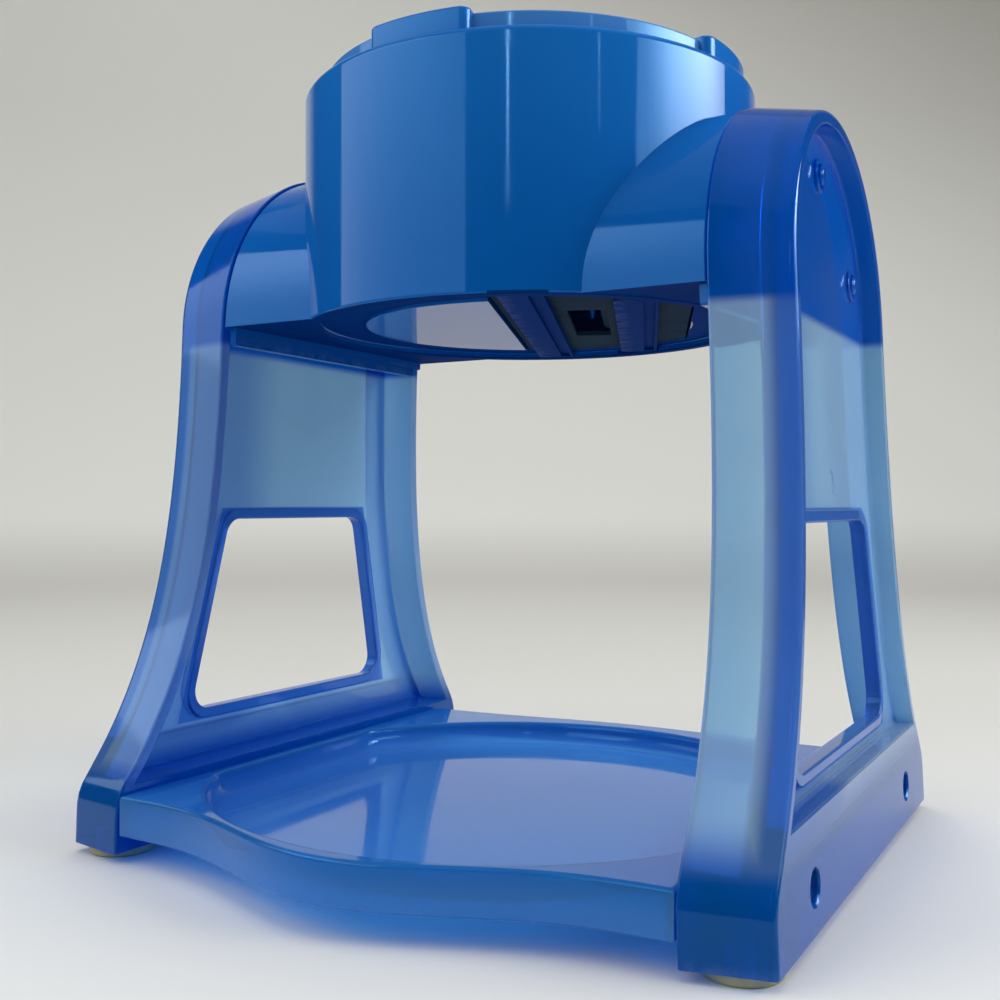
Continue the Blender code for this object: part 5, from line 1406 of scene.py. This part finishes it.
def moulding_group():
    """Slow flow waves, fine grain and hairline scratches of a moulded surface."""
    group, wire, given = new_group(
        "moulded surface",
        {"Roughness": 0.08, "Spread": 0.05, "Flow": 1.0, "Grain": 1.0, "Scratches": 1.0},
        {"Height": 1, "Roughness": 1})
    where = wire.where()
    flow = wire.times(wire.noise(where, 14.0, 1.0), given["Flow"])
    grain = wire.times(wire.times(wire.noise(where, 700.0, 2.0), 0.02), given["Grain"])
    streaked = wire.add("ShaderNodeMapping", {"Vector": where, "Rotation": (0.4, 0.9, 0.3),
                                              "Scale": (900.0, 28.0, 60.0)}).outputs[0]
    scratch = wire.times(wire.between(wire.noise(streaked, 1.0, 1.0), 0.68, 0.74), given["Scratches"])
    height = wire.minus(wire.plus(flow, grain), wire.times(scratch, 0.03))
    smudge = wire.between(wire.noise(where, 38.0, 3.0, 0.6), 0.35, 0.75)
    lift = wire.plus(wire.times(smudge, given["Spread"]), wire.times(scratch, 0.12))
    wire.add("NodeGroupOutput", {"Height": height, "Roughness": wire.plus(given["Roughness"], lift)})
    return group


def depth_group():
    """A colour that deepens towards one height, with slow clouds in the pigment."""
    group, wire, given = new_group(
        "pigment depth",
        {"Light": (0.3, 0.5, 0.8, 1), "Deep": (0.1, 0.3, 0.7, 1), "Deep Height": 0.2,
         "Light Height": 0.1, "Clouds": 0.2},
        {"Colour": 4})
    where = wire.where()
    share = wire.between(wire.parts(where)["Z"], given["Light Height"], given["Deep Height"])
    cloud = wire.minus(wire.noise(where, 22.0, 2.0), 0.5)
    share = wire.plus(share, wire.times(cloud, given["Clouds"]), clamp=True)
    wire.add("NodeGroupOutput", {"Colour": wire.blend(share, given["Light"], given["Deep"])})
    return group


def solid_group():
    """A mask of a side frame's solid parts: foot block, front flange outside the web, window rim.

    The left frame counts as partly solid all over its front.
    """
    group, wire, given = new_group("frame solid parts", {"Block Top": 30 * MM}, {"Mask": 1})
    parts = wire.parts(wire.where())
    block = wire.between(wire.minus(parts["Z"], given["Block Top"]), 14 * MM, -4 * MM)
    out = wire.plus(wire.size(parts["X"]), wire.times(wire.minus(parts["Z"], SPLAY_HEIGHT), SPLAY))
    strip = wire.times(wire.between(out, WEB_INNER, WEB_INNER + 2 * WEB_THICKNESS), 0.8)
    front = wire.between(parts["Y"], 0.0, -30 * MM)
    left = wire.times(wire.between(parts["X"], -50 * MM, -60 * MM), 0.45)
    strip = wire.times(wire.maths("MAXIMUM", strip, left), front)
    slope = (WINDOW_BOTTOM_HALF - WINDOW_TOP_HALF) / (WINDOW_TOP - WINDOW_BOTTOM)
    lean = wire.times(wire.minus(parts["Z"], WINDOW_BOTTOM), slope)
    beside = wire.plus(wire.size(wire.minus(parts["Y"], AXIS_BACK)), lean)
    edge = WINDOW_BOTTOM_HALF + WINDOW_RIM
    level = wire.size(wire.minus(parts["Z"], (WINDOW_TOP + WINDOW_BOTTOM) / 2))
    rise = (WINDOW_TOP - WINDOW_BOTTOM) / 2 + WINDOW_RIM
    rim = wire.times(wire.between(beside, edge + MM, edge), wire.between(level, rise + MM, rise))
    solid = wire.maths("MAXIMUM", wire.maths("MAXIMUM", block, strip), wire.times(rim, 0.85))
    wire.add("NodeGroupOutput", {"Mask": solid})
    return group


def collar_group():
    """A mask of the drum's thin collar."""
    group, wire, given = new_group("thin collar", {"Start": DRUM_SHOULDER}, {"Mask": 1})
    where = wire.where()
    centred = wire.vector("ADD", where, (0.0, -AXIS_BACK, 0.0))
    radius = wire.vector("LENGTH", wire.vector("MULTIPLY", centred, LEVEL_PART), output="Value")
    above = wire.between(wire.minus(wire.parts(where)["Z"], given["Start"]), 0.0, 1.5 * MM)
    within = wire.between(radius, COLLAR_RADIUS + MM, COLLAR_RADIUS + 0.4 * MM)
    wire.add("NodeGroupOutput", {"Mask": wire.times(above, within)})
    return group


def edge_wear_and_highlight_group():
    """A mask of handled edges, broken up by noise; its paler colour is partly wear and partly a painted
    highlight along the edges.
    """
    group, wire, given = new_group("edge wear", {"Amount": 0.5}, {"Mask": 1})
    edge = wire.between(wire.add("ShaderNodeNewGeometry").outputs["Pointiness"], 0.54, 0.64)
    broken = wire.between(wire.noise(wire.where(), 160.0, 3.0, 0.7), 0.35, 0.65)
    mask = wire.times(wire.times(edge, broken), given["Amount"], clamp=True)
    wire.add("NodeGroupOutput", {"Mask": mask})
    return group


def metal_group():
    """Brushing, pits and stains of a steel surface."""
    group, wire, given = new_group(
        "worked steel", {"Roughness": 0.3, "Spread": 0.15, "Brushing": (40.0, 40.0, 2500.0)},
        {"Height": 1, "Roughness": 1, "Stain": 1})
    where = wire.where()
    brush = wire.noise(wire.vector("MULTIPLY", where, given["Brushing"]), 1.0, 3.0, 0.6)
    pits = wire.between(wire.noise(where, 900.0, 1.0), 0.66, 0.75)
    rough = wire.plus(given["Roughness"], wire.times(wire.minus(brush, 0.5), given["Spread"]))
    stain = wire.between(wire.noise(where, 60.0, 4.0, 0.65), 0.5, 0.72)
    wire.add("NodeGroupOutput", {"Height": wire.minus(brush, pits), "Roughness": rough, "Stain": stain})
    return group


def shared(name, maker):
    """A group by its name, made the first time that it is asked for."""
    return bpy.data.node_groups.get(name) or maker()


def new_finish(name):
    """A material of a name and the wiring of its empty tree, or no wiring if it was made before."""
    made = bpy.data.materials.get(name)
    if made:
        return made, None
    made = bpy.data.materials.new(name)
    made.use_nodes = True
    made.node_tree.nodes.clear()
    return made, Wiring(made.node_tree)


def grouped(wire, name, maker, **values):
    """A node of a shared group, with values for its inputs."""
    made = wire.add("ShaderNodeGroup", node_tree=shared(name, maker))
    for key, value in values.items():
        made.inputs[key.replace("_", " ")].default_value = value
    return made.outputs


def full(colour):
    return (*colour[:3], 1.0)


def shaded(colour, keep, lift=0.0):
    """A colour with a share of each part kept and an even amount added."""
    return full([min(1.0, lift + keep * part) for part in colour])


def surfaced(made, wire, shader):
    """The material with a shader on its surface and nothing inside it."""
    wire.add("ShaderNodeOutputMaterial", {"Surface": shader.outputs[0]})
    return made


def plastic(name, light, deep, deep_height, light_height, clear, rough, tint=(0, 0, 0), absorb=0.0,
            through=(0, 0, 0), clouds=0.25, solid=False, drum=False, ior=1.5):
    """Tinted moulded plastic: clear is how much light passes it, tint its colour in the depth.

    Through is the colour of its shadows where it lets light pass. Solid and drum add the deep
    colour of a frame's solid parts and the paler tone of the drum's collar.
    """
    made, wire = new_finish(name)
    if wire is None:
        return made
    depth = grouped(wire, "pigment depth", depth_group, Light=full(light), Deep=full(deep),
                    Deep_Height=deep_height, Light_Height=light_height, Clouds=clouds)
    surface = grouped(wire, "moulded surface", moulding_group, Roughness=rough, Spread=0.05,
                      Flow=0.12, Grain=1.0, Scratches=0.5)
    wear_and_highlight = grouped(wire, "edge wear", edge_wear_and_highlight_group, Amount=0.2)
    tone = depth["Colour"]
    if solid:
        tone = wire.blend(grouped(wire, "frame solid parts", solid_group)["Mask"], tone, full(deep))
    if drum:
        collar = grouped(wire, "thin collar", collar_group)["Mask"]
        tone = wire.blend(wire.times(collar, 0.3), tone, COLLAR_TONE)
    # Paler edges: partly wear, partly a painted highlight along the edges.
    colour = wire.blend(wear_and_highlight["Mask"], tone, shaded(light, 0.75, 0.25))
    normal = wire.normal(0.25, 0.6 * MM, surface["Height"])
    shader = wire.add("ShaderNodeBsdfPrincipled", {
        "Base Color": colour, "Roughness": surface["Roughness"], "Normal": normal,
        "IOR": ior, "Transmission Weight": clear, "Specular Tint": SHINE_TONE})
    result = shader.outputs[0]
    if max(through) > 0:
        film = wire.add("ShaderNodeBsdfTransparent", {"Color": full(through)})
        path = wire.add("ShaderNodeLightPath")
        result = wire.add("ShaderNodeMixShader", {0: path.outputs["Is Shadow Ray"], 1: result,
                                                  2: film.outputs[0]}).outputs[0]
    ends = {"Surface": result}
    if absorb:
        inside = wire.add("ShaderNodeVolumeAbsorption", {"Color": full(tint), "Density": absorb})
        ends["Volume"] = inside.outputs[0]
    wire.add("ShaderNodeOutputMaterial", ends)
    made.diffuse_color = full(light)
    return made


def steel(name, colour, rough, spread, brushing, stained, metal=1.0, ior=1.5):
    """Steel with brushing, pits and darker stains, either bare, or near black and without its metal shine as
    painted shade.
    """
    made, wire = new_finish(name)
    if wire is None:
        return made
    surface = grouped(wire, "worked steel", metal_group, Roughness=rough, Spread=spread, Brushing=brushing)
    share = wire.times(surface["Stain"], stained)
    tone = wire.blend(share, full(colour), shaded(colour, 0.45))
    normal = wire.normal(0.3, 0.05 * MM, surface["Height"])
    shader = wire.add("ShaderNodeBsdfPrincipled", {
        "Base Color": tone, "Metallic": metal, "Roughness": surface["Roughness"],
        "IOR": ior, "Normal": normal})
    made.diffuse_color = full(colour)
    return surfaced(made, wire, shader)


def soft_rubber(name, colour):
    """Soft tan rubber with a dusty, grainy skin."""
    made, wire = new_finish(name)
    if wire is None:
        return made
    where = wire.where()
    dust = wire.between(wire.noise(where, 120.0, 4.0, 0.7), 0.4, 0.7)
    tone = wire.blend(wire.times(dust, 0.5), full(colour), shaded(colour, 0.88, 0.12))
    grain = wire.noise(where, 1500.0, 3.0)
    normal = wire.normal(0.4, 0.1 * MM, grain)
    shader = wire.add("ShaderNodeBsdfPrincipled", {
        "Base Color": tone, "Roughness": wire.between(grain, 0.3, 0.7, 0.5, 0.7),
        "Normal": normal, "Subsurface Weight": 0.15, "Subsurface Scale": 2 * MM})
    made.diffuse_color = full(colour)
    return surfaced(made, wire, shader)


def pale_nylon(name):
    """Natural nylon, a little milky and turned smooth."""
    made, wire = new_finish(name)
    if wire is None:
        return made
    surface = grouped(wire, "moulded surface", moulding_group, Roughness=0.32, Spread=0.15, Flow=0.1,
                      Grain=2.0, Scratches=1.0)
    where = wire.where()
    tone = wire.blend(wire.noise(where, 90.0, 3.0), *NYLON_TONES)
    normal = wire.normal(0.3, 0.2 * MM, surface["Height"])
    shader = wire.add("ShaderNodeBsdfPrincipled", {
        "Base Color": tone, "Roughness": surface["Roughness"], "Normal": normal,
        "Subsurface Weight": 0.3, "Subsurface Scale": 2 * MM})
    return surfaced(made, wire, shader)


def drum_plastic(colours):
    return plastic("deep blue drum plastic", colours.drum_light, colours.drum_deep, deep_height=0.20,
                   light_height=0.30, clear=0.12, rough=0.05, clouds=0.3, drum=True)


def underside_shade_plastic():
    # Painted shade: a darker, rough blue with almost no reflection, for the faces under the drum.
    return plastic("painted shade under the drum", (0.001, 0.05, 0.24), (0.001, 0.035, 0.17), deep_height=0.20,
                   light_height=0.21, clear=0.0, rough=0.6, ior=1.04)


def frame_plastic(colours):
    return plastic("clear blue frame plastic", colours.frame_light, colours.frame_deep, deep_height=0.197,
                   light_height=0.193, clear=0.62, rough=0.05, tint=(0.0, 0.57, 0.85), absorb=220.0,
                   through=(0.42, 0.62, 0.82), solid=True)


def tray_plastic(colours):
    return plastic("clear blue tray plastic", colours.tray_light, colours.tray_deep, deep_height=0.027,
                   light_height=0.012, clear=0.62, rough=0.05, tint=(0.0, 0.55, 0.84), absorb=240.0,
                   through=(0.42, 0.66, 0.86))


def bright_steel():
    return steel("bright turned steel", (0.62, 0.63, 0.64), rough=0.24, spread=0.16,
                 brushing=(60.0, 60.0, 2500.0), stained=0.25)


def cutter_steel_in_shade():
    # Painted shade: the plate and the blade are near black, not metallic and almost unreflecting.
    return steel("cutter steel in painted shade", (0.010, 0.035, 0.060), rough=0.62, spread=0.14,
                 brushing=(2400.0, 60.0, 60.0), stained=0.5, metal=0.0, ior=1.06)


def studio_paper(name, colours):
    """Matt studio paper: a pale floor and wall, with painted shade that darkens the wall to the top right and
    the floor to the rear.

    Reflections and bounced light see a painted dark tone instead of the wall, except at the rear; the camera
    and light passing through clear plastic see the wall.
    """
    made, wire = new_finish(name)
    if wire is None:
        return made
    where = wire.where()
    parts = wire.parts(where)
    height = wire.between(parts["Z"], -0.02, 0.12)
    # Painted shade: the wall and the floor darken towards the top right.
    dark = wire.between(wire.plus(wire.times(parts["X"], 0.6), parts["Z"]), 0.2, 1.9)
    depth = wire.vector("DOT_PRODUCT", where, REARWARD, "Value")
    # Painted shade: the floor darkens towards the rear.
    ground = wire.blend(wire.between(depth, -0.15, 0.3), full(colours.floor), FAR_FLOOR_SHADE_TONE)
    tone = wire.blend(height, ground, full(colours.wall))
    tone = wire.blend(wire.times(dark, 0.9), tone, WALL_SHADE_TONE)
    flat = wire.vector("MULTIPLY", where, LEVEL_PART)
    behind = wire.vector("DOT_PRODUCT", wire.vector("NORMALIZE", flat), REARWARD, "Value")
    reach = wire.vector("LENGTH", flat, output="Value")
    # Painted dark reflection: away from the rear, reflections and bounced light see a dark tone.
    dark_reflection = wire.times(wire.between(behind, 0.84, 0.70), wire.between(reach, 1.0, 1.7))
    path = wire.add("ShaderNodeLightPath").outputs
    seen = wire.maths("MAXIMUM", path["Is Camera Ray"], path["Is Transmission Ray"])
    dark_reflection = wire.times(dark_reflection, wire.minus(1.0, seen))
    tone = wire.blend(dark_reflection, tone, DARK_REFLECTION_TONE)
    normal = wire.normal(0.05, 0.2 * MM, wire.noise(where, 900.0, 2.0))
    shader = wire.add("ShaderNodeBsdfPrincipled", {"Base Color": tone, "Roughness": 0.9,
                                                   "Specular IOR Level": 0.1, "Normal": normal})
    return surfaced(made, wire, shader)


def softbox(name, azimuth, distance, height, aim, width, tall, watts, colour=(1, 1, 1)):
    """A rectangular lamp at an angle round the object, aimed at a point and unseen in reflections."""
    lamp = bpy.data.lights.new(name, "AREA")
    lamp.shape = "RECTANGLE"
    lamp.size = width
    lamp.size_y = tall
    lamp.energy = watts
    lamp.color = colour
    holder = bpy.data.objects.new(name, lamp)
    bpy.context.scene.collection.objects.link(holder)
    angle = math.radians(azimuth)
    holder.location = (distance * math.cos(angle), distance * math.sin(angle), height)
    look = Vector(aim) - holder.location
    holder.rotation_euler = look.to_track_quat("-Z", "Y").to_euler()
    holder.visible_camera = False
    holder.visible_glossy = False


def light_card(name, azimuths, heights, dim, bright, peak=0.5, colour=(1.0, 1.0, 1.0)):
    """An upright glowing card round the object, unseen by the camera.

    It is brightest towards its top, at the share of its width that peak gives.
    """
    corners = []
    spots = rectangle(0, 1, 0, 1)
    for across, up in spots:
        angle = math.radians(azimuths[across])
        corners.append((LAMP_DISTANCE * math.cos(angle), LAMP_DISTANCE * math.sin(angle) + AXIS_BACK,
                        heights[up]))
    mesh = bpy.data.meshes.new(name)
    mesh.from_pydata(corners, [], [(0, 1, 2, 3)])
    layer = mesh.uv_layers.new(name="card")
    for loop, spot in zip(layer.data, spots):
        loop.uv = spot
    glow, wire = new_finish(f"glow of {name}")
    parts = wire.parts(wire.add("ShaderNodeTexCoord").outputs["UV"])
    aside = wire.size(wire.minus(parts["X"], peak))
    share = wire.times(wire.between(parts["Y"], 0.1, 0.75), wire.between(aside, 0.5, 0.05))
    strength = wire.between(share, 0.0, 1.0, dim, bright, smooth=False)
    light = wire.add("ShaderNodeEmission", {"Color": full(colour), "Strength": strength})
    wire.add("ShaderNodeOutputMaterial", {"Surface": light.outputs[0]})
    mesh.materials.append(glow)
    card = bpy.data.objects.new(name, mesh)
    bpy.context.scene.collection.objects.link(card)
    card.visible_camera = False


def backdrop(colours):
    """The round floor that curves up into the wall."""
    profile = [(radius, 0.0) for radius in STAGE_RINGS]
    for index in range(STAGE_CURVE_STEPS + 1):
        angle = math.pi / 2 * index / STAGE_CURVE_STEPS
        profile.append((STAGE_FLAT + STAGE_CURVE * math.sin(angle), STAGE_CURVE * (1 - math.cos(angle))))
    profile.append((STAGE_FLAT + STAGE_CURVE, STAGE_TOP))
    angles = [math.tau * index / STAGE_STEPS for index in range(STAGE_STEPS)]
    work = bmesh.new()
    rings = []
    for radius, z in profile:
        if radius == 0:
            rings.append([work.verts.new((0, 0, z))])
            continue
        rings.append([work.verts.new((radius * math.cos(angle), radius * math.sin(angle), z))
                      for angle in angles])
    for low, high in zip(rings, rings[1:]):
        for index in range(STAGE_STEPS):
            after = (index + 1) % STAGE_STEPS
            if len(low) == 1:
                work.faces.new((low[0], high[index], high[after]))
            else:
                work.faces.new((low[index], high[index], high[after], low[after]))
    mesh = bpy.data.meshes.new("studio_backdrop")
    work.to_mesh(mesh)
    work.free()
    mesh.shade_smooth()
    mesh.materials.append(studio_paper("studio paper", colours))
    sheet = bpy.data.objects.new("studio_backdrop", mesh)
    bpy.context.scene.collection.objects.link(sheet)


def lights():
    """The glowing cards that the plastic mirrors, and two lamps for the backdrop and the tops."""
    light_card("left_panel", (-164.3, -91.5), (0.33, 1.10), dim=1.75, bright=3.7, colour=(0.90, 0.96, 1.0))
    light_card("right_panel", (-11.0, 45.7), (0.38, 0.86), dim=3.4, bright=17.0, peak=0.52,
               colour=(0.95, 0.98, 1.0))
    light_card("front_strip", (-72.6, -71.3), (0.52, 0.90), dim=5.0, bright=24.0)
    light_card("side_strip", (-30.7, -29.9), (0.62, 0.80), dim=3.0, bright=8.0)
    softbox("backdrop_wash", 119, 1.1, 2.1, aim=(-1.17, 2.1, 0.5), width=2.0, tall=0.6, watts=9,
            colour=(1.0, 0.985, 0.94))
    softbox("top_panel", 150, 0.5, 1.9, aim=(0, 0, 0.15), width=1.8, tall=1.8, watts=12)


def air():
    """The world: even light from all round, weaker in reflections."""
    world = bpy.data.worlds.new("studio air")
    bpy.context.scene.world = world
    world.use_nodes = True
    wire = Wiring(world.node_tree)
    sky = world.node_tree.nodes["Background"]
    sky.inputs["Color"].default_value = (0.97, 0.98, 1.0, 1)
    glossy = wire.add("ShaderNodeLightPath").outputs["Is Glossy Ray"]
    world.node_tree.links.new(wire.between(glossy, 0.0, 1.0, 1.0, 0.25), sky.inputs["Strength"])


def camera():
    """The camera at the photograph's place, turned by its heading, pitch and roll."""
    lens = bpy.data.cameras.new("camera")
    lens.lens = CAMERA_LENS
    lens.sensor_width = CAMERA_SENSOR
    lens.sensor_fit = "HORIZONTAL"
    holder = bpy.data.objects.new("camera", lens)
    bpy.context.scene.collection.objects.link(holder)
    heading = math.radians(CAMERA_HEADING)
    pitch = math.radians(CAMERA_PITCH)
    roll = math.radians(CAMERA_ROLL)
    forward = Vector((-math.sin(heading) * math.cos(pitch), math.cos(heading) * math.cos(pitch),
                      math.sin(pitch)))
    level = Vector((math.cos(heading), math.sin(heading), 0))
    upward = level.cross(forward)
    right = level * math.cos(roll) + upward * math.sin(roll)
    over = upward * math.cos(roll) - level * math.sin(roll)
    turn = Matrix((right, over, -forward)).transposed().to_4x4()
    holder.matrix_world = Matrix.Translation(CAMERA_PLACE) @ turn
    bpy.context.scene.camera = holder


class ICESHAVER_OT_side_frames(bpy.types.Operator):
    """Make the two side frames with their screws"""

    bl_idname = "iceshaver.side_frames"
    bl_label = "Side frames"
    bl_options = {"REGISTER", "UNDO"}

    def execute(self, context):
        finish = frame_plastic(context.scene.shaver_colours)
        for label, side in SIDES.items():
            side_frame(side, label, context.scene.shaver_sizes, finish)
            frame_screws(side, label, finish, bright_steel())
        return {"FINISHED"}


class ICESHAVER_OT_feet(bpy.types.Operator):
    """Make the four feet"""

    bl_idname = "iceshaver.feet"
    bl_label = "Feet"
    bl_options = {"REGISTER", "UNDO"}

    def execute(self, context):
        finish = soft_rubber("tan foot rubber", context.scene.shaver_colours.foot)
        for label, side in SIDES.items():
            for word, end in ENDS.items():
                foot(side, end, f"{label}_{word}", finish)
        return {"FINISHED"}


class ICESHAVER_OT_base_tray(bpy.types.Operator):
    """Make the tray with its dish"""

    bl_idname = "iceshaver.base_tray"
    bl_label = "Tray"
    bl_options = {"REGISTER", "UNDO"}

    def execute(self, context):
        base_tray(context.scene.shaver_sizes, tray_plastic(context.scene.shaver_colours))
        return {"FINISHED"}


class ICESHAVER_OT_drum(bpy.types.Operator):
    """Make the drum with its cheeks, collar and outlet"""

    bl_idname = "iceshaver.drum"
    bl_label = "Drum"
    bl_options = {"REGISTER", "UNDO"}

    def execute(self, context):
        drum_housing(context.scene.shaver_sizes, drum_plastic(context.scene.shaver_colours))
        return {"FINISHED"}


class ICESHAVER_OT_cutter(bpy.types.Operator):
    """Make the cutter plate, the blade and its screws"""

    bl_idname = "iceshaver.cutter"
    bl_label = "Cutter"
    bl_options = {"REGISTER", "UNDO"}

    def execute(self, context):
        cutter_plate(cutter_steel_in_shade())
        shaving_blade(cutter_steel_in_shade())
        for word, (x, y) in blade_screw_places().items():
            screw(f"blade_screw_{word}", BLADE_SCREW, (x, y, BLADE_SCREW_SEAT), (0, 0, 1),
                  bright_steel(), "stand")
        return {"FINISHED"}


class ICESHAVER_OT_lid(bpy.types.Operator):
    """Make the lid and its bush"""

    bl_idname = "iceshaver.lid"
    bl_label = "Lid"
    bl_options = {"REGISTER", "UNDO"}

    def execute(self, context):
        lid(drum_plastic(context.scene.shaver_colours))
        shaft_bush(pale_nylon("milky nylon"))
        return {"FINISHED"}


class ICESHAVER_OT_crank(bpy.types.Operator):
    """Make the crank, its knob and the shaft with its small parts"""

    bl_idname = "iceshaver.crank"
    bl_label = "Crank"
    bl_options = {"REGISTER", "UNDO"}

    def execute(self, context):
        blue = drum_plastic(context.scene.shaver_colours)
        metal = bright_steel()
        crank_arm(blue)
        crank_knob(blue)
        knob_pin(metal)
        drive_shaft(metal)
        crank_washer(metal)
        shaft_clip(metal)
        screw("crank_screw", CAP_SCREW, (0, 0, CRANK_TOP + FIT), (0, 0, 1), metal, "crank")
        return {"FINISHED"}


class ICESHAVER_OT_presser(bpy.types.Operator):
    """Make the spiked presser and its spring"""

    bl_idname = "iceshaver.presser"
    bl_label = "Presser"
    bl_options = {"REGISTER", "UNDO"}

    def execute(self, context):
        ice_presser(drum_plastic(context.scene.shaver_colours))
        presser_spring(bright_steel())
        return {"FINISHED"}


class ICESHAVER_OT_studio(bpy.types.Operator):
    """Make the floor, the lamps and the camera"""

    bl_idname = "iceshaver.studio"
    bl_label = "Studio"
    bl_options = {"REGISTER", "UNDO"}

    def execute(self, context):
        backdrop(context.scene.shaver_colours)
        lights()
        air()
        camera()
        context.scene.view_settings.view_transform = "Standard"
        return {"FINISHED"}


MAKERS = (ICESHAVER_OT_side_frames, ICESHAVER_OT_feet, ICESHAVER_OT_base_tray, ICESHAVER_OT_drum,
          ICESHAVER_OT_cutter, ICESHAVER_OT_lid, ICESHAVER_OT_crank, ICESHAVER_OT_presser,
          ICESHAVER_OT_studio)


class ICESHAVER_PT_panel(bpy.types.Panel):
    """Lists the sizes, the colours and the makers"""

    bl_idname = "ICESHAVER_PT_panel"
    bl_label = "Ice Shaver"
    bl_space_type = "VIEW_3D"
    bl_region_type = "UI"
    bl_category = "Ice Shaver"

    def draw(self, context):
        for settings in (context.scene.shaver_sizes, context.scene.shaver_colours):
            box = self.layout.box()
            for name in settings.__annotations__:
                box.prop(settings, name)
        for maker in MAKERS:
            self.layout.operator(maker.bl_idname)


CLASSES = (ShaverSizes, ShaverColours, *MAKERS, ICESHAVER_PT_panel)


def register():
    for each in CLASSES:
        bpy.utils.register_class(each)
    bpy.types.Scene.shaver_sizes = PointerProperty(type=ShaverSizes)
    bpy.types.Scene.shaver_colours = PointerProperty(type=ShaverColours)


def unregister():
    del bpy.types.Scene.shaver_colours
    del bpy.types.Scene.shaver_sizes
    for each in reversed(CLASSES):
        bpy.utils.unregister_class(each)


def main():
    register()
    for maker in MAKERS:
        group, name = maker.bl_idname.split(".")
        getattr(getattr(bpy.ops, group), name)()


if __name__ == "__main__":
    main()
